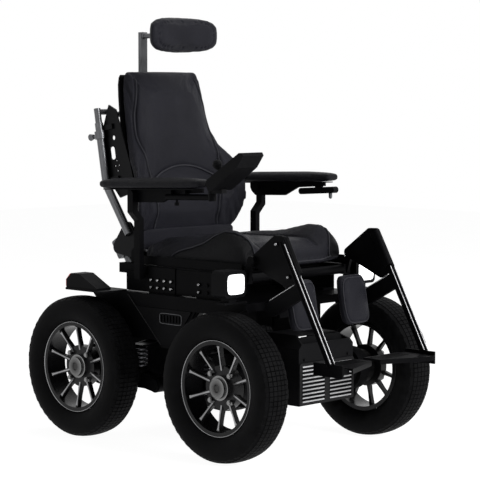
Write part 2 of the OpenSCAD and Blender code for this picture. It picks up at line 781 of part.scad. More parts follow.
module armrest_posts() color("#1a1b1d") for (side = [LEFT, RIGHT]) on_side(side) {
    inner = rail_x + rail_s / 2;
    low = inner + 14;
    top = arm_x - arm_post_w / 2;
    bend = arm_joint_z - 63;
    front_y0 = arm_pivot_back_y - arm_post_d / 2;
    front_plate(front_y0, front_y0 + arm_post_d)
        polygon([[low, rail_bot - 12], [low + arm_post_w, rail_bot - 12], [low + arm_post_w, bend - 20],
                 [top + arm_post_w, bend + 8], [top + arm_post_w, arm_joint_z], [top, arm_joint_z], [top, bend + 16],
                 [low, bend - 12]]);
    box([inner, front_y0 - 2, rail_bot], [low + eps, front_y0 + arm_post_d + 2, rail_top - 4]);
    translate([0, arm_pivot_back_y, arm_joint_z]) {
        cross_rod(top, top + arm_post_w, arm_post_d);
        cross_rod(arm_x + beam_x - 5, top + 1, arm_pin_d);
        cross_rod(arm_x + beam_x - 5, arm_x + beam_x - move_gap, arm_pin_d + 8);
    }
}

// Back, modelled upright about its recline joint and then leaned

module on_back() translate([0, recline_y, recline_z]) rotate([-back_rake, 0, 0]) children();

BACK_WIDTHS = [[0, 200], [60, 224], [120, 234], [190, 236], [237, 222], [277, 200], [320, 185], [400, 175], [480, 168],
               [527, 160]];
WING_SHARE = [[0, 0.25], [60, 0.7], [120, 1], [190, 0.97], [237, 0.62], [277, 0.3], [320, 0.1], [400, 0], [527, 0]];
function back_half(z) = lookup(z * 527 / back_l, BACK_WIDTHS);
function back_wing(z) = wing_reach * lookup(z * 527 / back_l, WING_SHARE);
function back_wrap(x, z) = back_wing(z) * pow(abs(x) / back_half(z), 3);

// Where the side seams run, as a share of the half width
function seam_at(t) = 0.57 + 0.25 * t;

module back_cushion() color("#2a2b2f") on_back() {
    n = 17;
    m = 40;
    crown = 16;
    seam = 5;
    lumbar_z = 0.37;
    loft([for (t = stations(n)) let (
            k = closing(t, 9), z = t * back_l,
            w = back_half(z) * (0.9 + 0.1 * k),
            half = back_t / 2 * k,
            mid = front_y + back_t / 2)
        [for (j = [0:m - 1]) let (
                a = 360 * j / m, c = squared(cos(a), 0.5), s = squared(sin(a), 0.55),
                ahead = max(-sin(a), 0),
                puff = crown * (1 - c * c) * pow(ahead, 0.5) * k * (1 - 0.3 * bump(t, lumbar_z, 0.05)),
                sewn = seam * bump(abs(c), seam_at(t), 0.05) * ahead * k)
            [w * c, mid + half * s - puff + sewn - back_wrap(w * c, z), cushion_bot + z]]]);
}

module back_shell() color("#131415") on_back() {
    n = 12;
    m = 28;
    foot = 60;
    loft([for (t = stations(n)) let (
            k = closing(t, 10), z = foot + t * (back_l - foot - 8),
            w = min(back_half(z) - 6, post_x - 18) * (0.94 + 0.06 * k))
        [for (j = [0:m - 1]) let (
                a = 360 * j / m, c = squared(cos(a), 0.5), s = squared(sin(a), 0.5))
            [w * c, shell_y + shell_t / 2 * (1 + k * s) - back_wrap(w * c, z), cushion_bot + z]]]);
}

module back_frame() color("#8d9095") {
    spine_w = 30;
    neck_w = 24;
    neck_h = 36;
    tube_d = 22;
    tube_y = spine_y + tube_d / 2 + seat_gap;
    for (side = [LEFT, RIGHT]) on_side(side) on_back() {
        difference() {
            union() {
                translate([post_x, post_y, post_knee]) cylinder(d = post_d, h = post_top - post_knee);
                translate([post_x, post_y, post_knee]) sphere(d = post_d + 1.5);
                rod([post_x, post_foot[0], post_foot[1]], [post_x, post_y, post_knee], post_d);
                side_plate(post_x - hinge_in, post_x - 2) fat_outline([[0, 0], post_foot + [8, 20], gear_at], 20);
                side_plate(post_x - 14, post_x - 9) perforated_outline();
                translate([post_x, post_y, post_top - 50]) cylinder(d = post_d + 9, h = 24);
                translate([post_x, post_y, post_top - 38]) rotate([-90, 0, 0]) {
                    cylinder(d = 9, h = 34);
                    translate([0, 0, 30]) cylinder(d1 = 14, d2 = 22, h = 16);
                }
                for (z = [post_knee + 14, post_top - 18])
                    box([post_x - 22, tube_y - 8, z - 8], [post_x - 3, post_y, z + 8]);
            }
            translate([post_x, post_y, leg_foot - 6]) cylinder(d = push_leg_d + 2 * run, h = post_top);
            cross_bore();
        }
    }
    on_back() {
        for (z = [post_knee + 14, post_top - 18])
            box([-post_x + 20, tube_y - 9, z - 9], [post_x - 20, tube_y + 9, z + 9]);
        box([-spine_w / 2, spine_y + seat_gap, post_top - 20], [spine_w / 2, spine_y + 12, post_top + 92]);
    }
    difference() {
        union() {
            box([-24, stem_y - stem_t / 2 - 10, socket_z], [24, stem_y + stem_t / 2 + 10, socket_z + socket_h]);
            box([-neck_w / 2, spine_front_y(socket_z + neck_h) + 3, socket_z], [neck_w / 2, stem_y - 12, socket_z + neck_h]);
        }
        box([-stem_w / 2 - move_gap, stem_y - stem_t / 2 - move_gap, socket_z - 1],
            [stem_w / 2 + move_gap, stem_y + stem_t / 2 + move_gap, socket_z + socket_h + 1]);
    }
}
// Where the leaning spine's front face is at a height
function spine_front_y(z) = recline_y + spine_y / cos(back_rake) + (z - recline_z) * tan(back_rake);

// The gear motor on the right hinge plate turns the back about its pin
module recline_motor() color("#85888d") on_back() on_side(RIGHT) {
    outer = post_x - hinge_in - seat_gap;
    side_plate(outer - 28, outer) bar2d([0, 0], gear_at, 34);
    translate([0, gear_at[0], gear_at[1]]) rotate([-22, 0, 0]) {
        side_plate(outer - 50, outer) round_rect(50, 62, 6);
        translate([outer - 25, 0, -62]) cylinder(d = 38, h = 40);
    }
}

module cross_bore() translate([post_x, 0, 0]) cross_rod(-20, 20, hinge_pin_d + 2 * run);

module perforated_outline() {
    y0 = front_y + back_t + 3;
    difference() {
        polygon([[y0 - 44, post_knee - 36], [y0 + 30, post_knee - 46], [post_y - 8, post_knee + 8],
                 [post_y - 8, post_top - 12], [y0 + 30, post_top + 50], [y0, post_top + 30], [y0 - 14, post_top - 50],
                 [y0 - 24, post_top - 90], [y0 - 36, post_knee + 42]]);
        for (z = [post_knee + 4, post_top - 54]) translate([y0 + 26, z]) circle(d = 15);
        for (p = [[18, 62], [34, 62], [26, 78], [26, 46]]) translate([y0 + p[0], post_knee + p[1] - 8]) circle(d = 7);
        translate([y0 + 38, post_top - 100]) round_rect(22, 40, 8);
    }
}

module push_bar() color("#b4b7bb") on_back() {
    grip_d = 18;
    bow = 50;
    bend_x = post_x - 56;
    bow_x = post_x - 108;
    knuckle_h = grip_d + 4;
    for (side = [LEFT, RIGHT]) on_side(side) {
        translate([post_x, post_y, leg_foot]) cylinder(d = push_leg_d, h = bar_z + grip_d / 2 + 2 - leg_foot);
        translate([0, post_y, bar_z]) {
            cross_rod(bend_x, post_x, grip_d);
            rod([bend_x, 0, 0], [bow_x, bow, 0], grip_d);
            for (p = [[bend_x, 0], [bow_x, bow]])
                translate([p[0], p[1], -knuckle_h / 2]) cylinder(d = grip_d + 5, h = knuckle_h);
        }
    }
    translate([0, post_y + bow, bar_z]) cross_rod(-bow_x, bow_x, grip_d);
}

module headrest_stem() color("#9a9da1") {
    arm_d = 16;
    box([-stem_w / 2, stem_y - stem_t / 2, stem_foot], [stem_w / 2, stem_y + stem_t / 2, tilt_z + 12]);
    translate([0, 0, tilt_z]) rotate([90, 0, 0]) translate([0, 0, -stem_y]) cylinder(d = arm_d, h = stem_y - tilt_y - 8);
    translate([0, stem_y, tilt_z]) sphere(d = arm_d + 10);
    translate([0, tilt_y, tilt_z]) {
        cross_rod(-9, 9, 22);
        cross_rod(-24, 24, 8);
    }
}

head_back_y = tilt_y - 34;
module headrest_bracket() color("#2c2d30") difference() {
    union() {
        translate([0, 0, tilt_z]) front_plate(head_back_y + seat_gap, head_back_y + 6) round_rect(96, 60, 12);
        for (side = [LEFT, RIGHT]) on_side(side) side_plate(12, 18) {
            bar2d([tilt_y, tilt_z], [head_back_y + 12, tilt_z], 22);
        }
    }
    translate([0, tilt_y, tilt_z]) cross_rod(-30, 30, 8 + 2 * run);
}

module headrest_pad() color("#232428") {
    n = 13;
    m = 24;
    hook = 26;
    loft([for (t = stations(n)) let (
            k = closing(t, 2.9), u = 2 * t - 1, x = u * head_w / 2,
            half_h = head_h / 2 * (0.15 + 0.85 * k), half_t = head_t / 2 * k)
        [for (j = [0:m - 1]) let (a = 360 * j / m, c = squared(cos(a), 0.7), s = squared(sin(a), 0.75))
            [x, head_back_y - head_t / 2 + half_t * c - hook * u * u, tilt_z + half_h * s * (k > 0.2 ? 1 : 0.9)]]]);
}

// Armrests, modelled about their joint and then sloped

module on_arm(side) on_side(side) translate([arm_x, arm_pivot_back_y, arm_joint_z]) rotate([-arm_slope, 0, 0]) children();

module armrest(side) color("#202124") on_arm(side) {
    tip = pad_rear - pad_l + 26;
    difference() {
        union() {
            side_plate(beam_x, beam_x + beam_t) polygon([[24, -12], [30, 0], [30, pad_base - 1], [tip, pad_base - 1],
                [tip, 4], [-176, 0], [-120, -25], [8, -25]]);
            box([beam_x, tip, pad_base - 3], [pad_w / 2 - 12, pad_rear - 22, pad_base - seat_gap]);
            translate([0, -70, -6]) cross_rod(beam_x - 3, beam_x + 1, 9);
        }
        cross_rod(beam_x - 1, beam_x + beam_t + 1, arm_pin_d + 2 * run);
    }
    if (side == RIGHT) joystick_carrier();
}

module joystick_carrier() {
    foot = -170;
    rear = -150;
    rod([0, rear, joy_tube_z], [0, joy_pivot_y, joy_tube_z], joy_tube_d);
    for (y = [foot, foot - 60]) box([beam_x + 1, y, joy_tube_z - 6], [2, y + 14, pad_base - 2]);
    translate([0, joy_pivot_y, joy_tube_z - joy_tube_d / 2 - 2]) {
        cylinder(d = joy_tube_d + 6, h = joy_tube_d + 4);
        cylinder(d = joy_pin_d, h = joy_tube_d + 21);
    }
    translate([0, foot - 23, joy_tube_z - joy_tube_d / 2 - 16]) {
        cylinder(d = 7, h = 18);
        cylinder(d = 15, h = 9);
    }
}

module arm_pad(side) color("#1e1f22") on_arm(side) {
    n = 12;
    m = 20;
    loft([for (t = stations(n)) let (
            k = closing(t, 8), y = pad_rear - pad_l + t * pad_l, half = pad_t / 2 * (0.35 + 0.65 * k),
            w = pad_w / 2 * (0.5 + 0.5 * k) * (1 - 0.05 * sin(180 * t)))
        [for (j = [0:m - 1]) let (a = 360 * j / m, s = squared(sin(a), 0.6), c = squared(cos(a), 0.6))
            [w * s, y, pad_base + pad_t / 2 + half * c]]]);
}

// Joystick, modelled along its housing and then tilted at the armrest's front end

joy_back = 26;
module on_joystick() on_arm(RIGHT) translate([0, joy_pivot_y - joy_back, joy_tube_z + joy_tube_d / 2 + 9])
    rotate([-joy_tilt, 0, 0]) children();
button_top = joy_t + 2;
POWER_AT = [-20, -joy_base_y - 46];
HORN_AT = [20, -joy_base_y - 46];
button_d = 14;
button_travel = 2;

module joystick_housing() color("#18191b") {
    well_r = joy_ball + 14;
    wall_t = 3;
    difference() {
        union() {
            on_joystick() difference() {
                side_plate(-joy_w / 2, joy_w / 2) polygon([[0, 2], [0, joy_t - 8], [-10, joy_t], [-joy_l + 10, joy_t],
                    [-joy_l, joy_t - 6], [-joy_l, joy_t - 16], [-joy_l + 40, 0], [-12, -4]]);
                side_plate(-joy_w / 2 + wall_t, joy_w / 2 - wall_t)
                    polygon([[-72, 4], [-72, joy_t - 4], [-joy_l + 14, joy_t - 4], [-joy_l + 14, joy_t - 12],
                             [-joy_l + 46, 4]]);
                translate([0, -joy_base_y + 26, joy_t - 17]) cylinder(r = well_r, h = 20);
                for (p = [POWER_AT, HORN_AT]) translate([p[0], p[1], joy_t - 6]) cylinder(d = button_d + 1, h = 8);
                translate([0, -joy_base_y + 26, joy_t - 6]) cross_rod(-well_r - 4, well_r + 4, 5 + 2 * run);
            }
            on_arm(RIGHT) translate([0, joy_pivot_y, joy_tube_z + joy_tube_d / 2 + 2 + move_gap]) {
                cylinder(d = joy_pin_d + 14, h = 16);
                translate([-10, -joy_back - 22, 0]) cube([20, joy_back + 22, 12]);
            }
        }
        on_arm(RIGHT) translate([0, joy_pivot_y, joy_tube_z]) cylinder(d = joy_pin_d + 2 * run, h = 60);
    }
}

module on_gimbal() on_joystick() translate([0, -joy_base_y + 26, joy_t - 6]) children();

module joystick_gimbal() color("#55585c") on_gimbal() {
    barrel(joy_ball, joy_ball);
    cross_rod(-joy_ball - 17, joy_ball + 17, 5);
}

// The knob's foot is a saddle that rocks on the gimbal's barrel
module barrel(r, reach) rotate([90, 0, 0]) cylinder(r = r, h = 2 * reach, center = true);

module joystick_knob() color("#0f1011") on_gimbal() difference() {
    rotate_extrude() polygon([[0, 6.5], [9.5, 6.5], [7, 14], [6, 24], [9, 30], [13, 36], [14, 44], [11, 51], [5, 54],
                              [0, 54]]);
    barrel(joy_ball + move_gap * 0.6, 2 * joy_ball);
}

module button_cap(at) on_joystick() translate([at[0], at[1], joy_t - 6 + button_travel + move_gap])
    cylinder(d = button_d, h = 8 - button_travel - move_gap);
module power_button() color("#c22a22") button_cap(POWER_AT);
module horn_button() color("#d8dadd") button_cap(HORN_AT);

// Switch bar under the left armrest

switch_y = -246;
switch_z = -12;
module switch_bar() color("#1b1c1f") on_arm(LEFT) difference() {
    union() {
        translate([0, 0, switch_z]) side_plate(-10, 12) bar2d([switch_y + 64, 0], [switch_y - 64, 4], 20, hair);
        box([beam_x + beam_t, switch_y - 22, switch_z - 4], [beam_x + beam_t + 10, switch_y + 4, pad_base - 3 - eps]);
    }
    translate([0, switch_y - 50, switch_z - 7]) side_plate(-4, 6) square([26, 20], center = true);
    translate([0, switch_y - 50, switch_z - 2]) cross_rod(-8, 10, 4 + 2 * run);
}

module switch_lever() color("#8c8f94") on_arm(LEFT) translate([0, switch_y - 50, switch_z - 2]) {
    cross_rod(-7, 9, 4);
    side_plate(-3.4, 5.4) bar2d([0, 0], [0, -16], 7);
    translate([1, 0, -17]) sphere(d = 10);
}

// Legrests

// The frame along a leg rail: +Z up the rail from its top end, +Y behind it
module on_rail() translate([leg_x, leg_top_y, leg_top_z]) rotate([-leg_rake, 0, 0]) children();
function along_rail(back, down) = [leg_top_y - down * sin(leg_rake) + back * cos(leg_rake),
                                   leg_top_z - down * cos(leg_rake) - back * sin(leg_rake)];
calf_pin_at = along_rail(calf_drop, calf_arm_at);
calf_back = 32;

module rail_section() difference() {
    round_rect(leg_w, leg_d, 3);
    translate([0, -leg_d / 2]) square(rail_groove, center = true);
    translate([leg_w / 2, 0]) square(rail_groove, center = true);
}

module legrest(side) color("#1d1f22") on_side(side) difference() {
    union() {
        on_rail() translate([0, 0, -leg_l]) linear_extrude(leg_l) rail_section();
        side_plate(leg_x - plate_t / 2, leg_x + plate_t / 2)
            fat_outline([[leg_joint_y, leg_joint_z], along_rail(22, -14), along_rail(2, -4), along_rail(0, 108),
                         along_rail(38, 112)], 14);
        on_rail() translate([-leg_w / 2 + 1, 0, -104]) linear_extrude(112) round_rect(18, 30, 7);
        on_rail() translate([-8, 0, -calf_arm_at - calf_arm_h / 2]) cube([16, calf_drop, calf_arm_h]);
        side_plate(leg_x - 8, leg_x + 8) translate(calf_pin_at) circle(d = calf_arm_h - 4);
        translate([0, calf_pin_at[0], calf_pin_at[1]]) cross_rod(calf_x - 40, leg_x, calf_pin_d);
        for (p = [along_rail(22, -2), along_rail(24, 100)]) translate([0, p[0], p[1]])
            cross_rod(leg_x, leg_x + plate_t / 2 + 4, 13);
        foot_bracket();
    }
    translate([0, leg_joint_y, leg_joint_z]) cross_rod(leg_x - 10, leg_x + 10, leg_pin_d + 2 * run);
}

// The leaf, ears and pin that carry the footplate
module foot_bracket() {
    leaf_t = 6;
    ear = 8;
    y0 = heel_y - foot_l + 12;
    y1 = heel_y - 8;
    box([leg_x - leaf_t, y0, foot_z - 18], [leg_x, y1, foot_z + 18]);
    for (y = [y0, y1 - ear]) side_ear(y, ear);
    translate([foot_hinge_x, y1, foot_z]) rotate([90, 0, 0]) cylinder(d = foot_pin_d, h = y1 - y0);
}
module side_ear(y, t) {
    translate([foot_hinge_x, y + t, foot_z]) rotate([90, 0, 0]) cylinder(d = foot_pin_d + 5, h = t);
    box([foot_hinge_x, y, foot_z - foot_pin_d / 2 - 2], [leg_x - 1, y + t, foot_z + foot_pin_d / 2 + 2]);
}

module calf_pad(side) color("#26272c") on_side(side) {
    n = 10;
    m = 24;
    mid = calf_pin_at - calf_back * [cos(calf_rake), -sin(calf_rake)];
    difference() {
        union() {
            translate([calf_x, mid[0], mid[1]]) rotate([-calf_rake, 0, 0]) {
                loft([for (t = stations(n)) let (
                        k = closing(t, 5), z = (t - 0.5) * calf_h, half = calf_t / 2 * (0.3 + 0.7 * k),
                        w = calf_w / 2 * (0.45 + 0.55 * k) * (1 - 0.05 * sin(180 * t)))
                    [for (j = [0:m - 1]) let (a = 360 * j / m, c = squared(cos(a), 0.55), s = squared(sin(a), 0.6))
                        [w * c, half * s - 5 * (1 - c * c) * max(-sin(a), 0) * k, z]]]);
                translate([-30, calf_t / 2 - 6, -16]) cube([54, calf_back - calf_t / 2 + 14, 32]);
            }
        }
        translate([0, calf_pin_at[0], calf_pin_at[1]]) cross_rod(calf_x - 50, leg_x, calf_pin_d + 2 * run);
    }
}

// The footplates grow shallower towards the middle
module footplate(side) color("#3a3d42") on_side(side) {
    plate = 6;
    wall_t = 4;
    rib_h = 12;
    top = foot_z + 8;
    ear = 8;
    y0 = heel_y - foot_l + 12 + ear + move_gap;
    y1 = heel_y - 8 - ear - move_gap;
    x1 = foot_hinge_x - 9;
    x0 = x1 - foot_w;
    groove = 12;
    difference() {
        union() {
            translate([0, 0, top - plate]) linear_extrude(plate)
                polygon([[x0, toe_y + foot_taper], [x1, toe_y], [x1, heel_y], [x0, heel_y]]);
            translate([0, 0, top - foot_lip]) linear_extrude(foot_lip)
                polygon([[x0, toe_y + foot_taper], [x1, toe_y], [x1, toe_y + wall_t], [x0, toe_y + foot_taper + wall_t]]);
            for (i = [1:3]) box([x0 + i * foot_w / 4 - 2, toe_y + foot_taper, top - rib_h],
                                [x0 + i * foot_w / 4 + 2, heel_y - 1, top - 1]);
            box([x1 - 1, y0, foot_z - 3], [foot_hinge_x, y1, foot_z + 4]);
            translate([foot_hinge_x, y1, foot_z]) rotate([90, 0, 0]) cylinder(d = foot_pin_d + 8, h = y1 - y0);
        }
        translate([foot_hinge_x, y1 + 1, foot_z]) rotate([90, 0, 0])
            cylinder(d = foot_pin_d + 2 * run, h = y1 - y0 + 2);
        for (i = [0:3]) box([x0 + 12, toe_y + foot_taper + 8 + i * groove, top - 1.5],
                            [x1 - 14, toe_y + foot_taper + 12 + i * groove, top + 1]);
    }
}

// The chair's pieces, one at a time or all together

chair() chassis_frame();
chair() deck();
chair() tie_downs();
chair() side_panels();
chair() front_cover();
chair() front_grille();
chair() battery_pack();
chair() motor_controller();
chair() rear_fenders();
chair() tail_lamp_lenses();
chair() headlamp_housings();
chair() headlamp_lenses();
chair() seat_frame();
chair() seat_cushion();
chair() armrest_posts();
chair() recline_motor();
chair() back_frame();
chair() back_shell();
chair() back_cushion();
chair() push_bar();
chair() headrest_stem();
chair() headrest_bracket();
chair() headrest_pad();
chair() joystick_housing();
chair() joystick_gimbal();
chair() joystick_knob();
chair() power_button();
chair() horn_button();
chair() switch_bar();
chair() switch_lever();
for (c = CORNERS) {
    chair() tyre(c[1], c[2]);
    chair() rim(c[1], c[2]);
    chair() hub(c[1], c[2]);
    chair() swing_arm(c[1], c[2]);
    chair() spring(c[1], c[2]);
}
for (s = SIDES) {
    chair() armrest(s[1]);
    chair() arm_pad(s[1]);
    chair() legrest(s[1]);
    chair() calf_pad(s[1]);
    chair() footplate(s[1]);
}
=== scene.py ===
# %% [markdown]
# An all terrain power chair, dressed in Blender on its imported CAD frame. The frame brings every
# rigid piece in its place. The steps below give each one its finish and build what solids can't
# show: stuffed leather, tread blocks, coil springs, lamps, bolts and trim.

# %% Load the frame
import json
import math

import bmesh
import bpy
from mathutils import Matrix, Vector
from mathutils.bvhtree import BVHTree
from mathutils.kdtree import KDTree


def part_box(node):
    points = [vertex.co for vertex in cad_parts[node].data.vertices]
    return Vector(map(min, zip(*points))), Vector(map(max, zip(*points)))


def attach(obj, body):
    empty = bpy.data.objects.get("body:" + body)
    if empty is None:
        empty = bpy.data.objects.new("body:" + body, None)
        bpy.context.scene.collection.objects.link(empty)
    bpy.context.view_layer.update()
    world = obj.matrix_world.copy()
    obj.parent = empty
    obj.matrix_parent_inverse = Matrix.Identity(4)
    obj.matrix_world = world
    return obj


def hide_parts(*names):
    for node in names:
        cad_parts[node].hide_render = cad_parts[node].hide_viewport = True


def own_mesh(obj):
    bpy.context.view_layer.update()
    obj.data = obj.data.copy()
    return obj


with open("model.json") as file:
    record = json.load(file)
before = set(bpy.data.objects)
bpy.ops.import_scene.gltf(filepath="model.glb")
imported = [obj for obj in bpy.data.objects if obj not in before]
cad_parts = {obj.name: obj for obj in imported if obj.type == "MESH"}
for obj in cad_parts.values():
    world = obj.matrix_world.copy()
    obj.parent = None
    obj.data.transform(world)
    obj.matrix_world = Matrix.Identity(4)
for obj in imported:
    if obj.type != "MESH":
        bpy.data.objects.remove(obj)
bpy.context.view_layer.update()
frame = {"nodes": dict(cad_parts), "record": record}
nodes = frame["nodes"]
scene = bpy.context.scene
scene.view_settings.view_transform = "Standard"

# %% [markdown]
# The camera stands as the photographer did, at the chair's front right corner and about chest
# high. Its place could be set by eye, but the four wheel circles and the chair's square corners
# give it more surely. The lens is long, and a small shift of it puts the chair a little left of
# the middle, as it is in the photo.

# %% Camera
AZIMUTH = math.radians(-45.43)
ELEVATION = math.radians(4.65)
CAMERA_PLACE = (-4.125, -3.992, 1.071)
lens = bpy.data.cameras.new("camera")
lens.lens = 142.1
lens.shift_x = 0.0295
lens.shift_y = 0.0022
camera = bpy.data.objects.new("camera", lens)
toward_camera = Vector((math.sin(AZIMUTH) * math.cos(ELEVATION),
                        -math.cos(AZIMUTH) * math.cos(ELEVATION),
                        math.sin(ELEVATION)))
camera.location = CAMERA_PLACE
camera.rotation_euler = toward_camera.to_track_quat("Z", "Y").to_euler()
scene.collection.objects.link(camera)
scene.camera = camera
print("camera", round(camera.location.length, 2), "m from the origin")

# %% [markdown]
# A shader is written as a sum, like a recipe. Its nodes could be made and linked one by one, but
# then the sum is hard to read. One small class wraps an output socket: its operators add the
# maths nodes, and one method adds any other node from its type, its settings and its inputs.


# %% Shader sockets
class Wire:
    def __init__(self, tree, socket=None):
        self.tree = tree
        self.socket = socket

    def node(self, kind, settings=None, inputs=None, out=0):
        made = self.tree.nodes.new("ShaderNode" + kind)
        for key, value in (settings or {}).items():
            setattr(made, key, value)
        for key, value in (inputs or {}).items():
            if isinstance(value, Wire):
                self.tree.links.new(value.socket, made.inputs[key])
            else:
                made.inputs[key].default_value = value
        return Wire(self.tree, made.outputs[out])

    def sum(self, operation, first, second):
        return self.node("Math", {"operation": operation}, {0: first, 1: second})

    def __add__(self, other):
        return self.sum("ADD", self, other)

    def __radd__(self, other):
        return self.sum("ADD", other, self)

    def __sub__(self, other):
        return self.sum("SUBTRACT", self, other)

    def __rsub__(self, other):
        return self.sum("SUBTRACT", other, self)

    def __mul__(self, other):
        return self.sum("MULTIPLY", self, other)

    def __rmul__(self, other):
        return self.sum("MULTIPLY", other, self)

    def __pow__(self, other):
        return self.sum("POWER", self, other)


print("shader sockets ready")

# %% [markdown]
# Every finish below is put together from the same few steps: fade one value into another range,
# mix two tints, take a cloud of noise, start a paint, feed its sockets and raise a relief. The
# Mix node keeps its vector and its colour sockets side by side, so they are picked by number.

# %% Shader steps
VECTOR_A = 4
VECTOR_B = 5
VECTOR_OUT = 1
COLOUR_A = 6
COLOUR_B = 7
COLOUR_OUT = 2


def fade(value, low, high, start=0.0, end=1.0):
    return value.node("MapRange", {"clamp": True}, {0: value, 1: low, 2: high, 3: start, 4: end})


def mix(factor, first, second):
    sockets = {0: factor, COLOUR_A: (*first, 1), COLOUR_B: (*second, 1)}
    return factor.node("Mix", {"data_type": "RGBA"}, sockets, COLOUR_OUT)


def cloud(root, scale, detail=4.0, roughness=0.55, squeeze=(1, 1, 1)):
    place = root.node("TexCoord", out="Object")
    place = root.node("Mapping", {"vector_type": "POINT"}, {"Vector": place, "Scale": squeeze})
    return root.node("TexNoise", {}, {"Vector": place, "Scale": scale, "Detail": detail,
                                      "Roughness": roughness})


def paint(name, constants):
    material = bpy.data.materials.new(name)
    material.use_nodes = True
    shader = material.node_tree.nodes["Principled BSDF"]
    for key, value in constants.items():
        shader.inputs[key].default_value = value
    return material, shader, Wire(material.node_tree)


def feed(shader, links):
    for key, wire in links.items():
        wire.tree.links.new(wire.socket, shader.inputs[key])


def relief(height, distance):
    return height.node("Bump", {}, {"Height": height, "Distance": distance, "Strength": 1.0})


print("shader steps ready")

# %% [markdown]
# The chair was photographed in a white studio. Its light could come from a picture of such a room,
# but plain lamps are easier to change. Big soft lights stand to the front left, to the right and
# overhead. The white world shows in every polished edge and lights the chair only a little. The
# floor is nearly white and keeps a soft shadow under the wheels.

# %% Studio
LIT_POINT = Vector((0, 0, 0.6))
WORLD_LIGHT = 0.06
WORLD_SEEN = 1.0


def softbox(name, place, size, watts):
    lamp = bpy.data.lights.new(name, "AREA")
    lamp.size = size
    lamp.energy = watts
    holder = bpy.data.objects.new(name, lamp)
    holder.location = place
    holder.rotation_euler = (Vector(place) - LIT_POINT).to_track_quat("Z", "Y").to_euler()
    scene.collection.objects.link(holder)


softbox("key_light", place=(1.0, -4.8, 2.6), size=2.2, watts=290)
softbox("fill_light", place=(-4.2, 0.6, 1.8), size=1.6, watts=6)
softbox("top_light", place=(0.6, 0.9, 4.2), size=2.4, watts=30)
world = bpy.data.worlds.new("studio")
world.use_nodes = True
scene.world = world
root = Wire(world.node_tree)
seen = root.node("LightPath", out="Is Camera Ray")
seen = seen.sum("MAXIMUM", seen, root.node("LightPath", out="Is Glossy Ray"))
seen = seen.sum("MAXIMUM", seen, root.node("LightPath", out="Is Transmission Ray"))
sky = world.node_tree.nodes["Background"]
sky.inputs["Color"].default_value = (1, 1, 1, 1)
feed(sky, {"Strength": fade(seen, 0, 1, WORLD_LIGHT, WORLD_SEEN)})

floor_mesh = bpy.data.meshes.new("floor")
bm = bmesh.new()
bmesh.ops.create_grid(bm, x_segments=2, y_segments=2, size=9)
bm.to_mesh(floor_mesh)
bm.free()
floor = bpy.data.objects.new("floor", floor_mesh)
scene.collection.objects.link(floor)
material, shader, root = paint("studio_floor", {
    "Base Color": (0.25, 0.25, 0.25, 1), "Roughness": 0.9, "Specular IOR Level": 0.0,
    "Emission Strength": 0.97})
feed(shader, {"Emission Color": mix(cloud(root, 3.0), (0.985, 0.985, 0.985), (1, 1, 1))})
floor_mesh.materials.append(material)
print("three soft lights, a white world and a floor")

# %% [markdown]
# Most of the chair is black, and what tells one black from another is how it takes the light. One
# flat black would look like a toy. So each finish mixes two tints by a broad and a fine cloud, and
# lets roughness and relief follow: powder coat has orange peel, moulded plastic a sand-blasted
# grain, cast alloy a slow waviness, and brushed bars are streaked along their length.

# %% Paints and metals
NOISE_SPAN = (0.35, 0.65)
BROAD = 11.0
BRUSHED_UPRIGHT = (1, 1, 0.06)


def mottled(name, dark, light, rough, grain, depth, constants, squeeze=(1, 1, 1)):
    material, shader, root = paint(name, constants)
    wide = cloud(root, BROAD)
    fine = cloud(root, grain, 3.0, 0.6, squeeze)
    feed(shader, {"Base Color": mix(fade(wide * 0.6 + fine * 0.4, *NOISE_SPAN), dark, light),
                  "Roughness": fade(wide * 0.5 + fine * 0.5, *NOISE_SPAN, *rough),
                  "Normal": relief(fine, depth)})
    return material


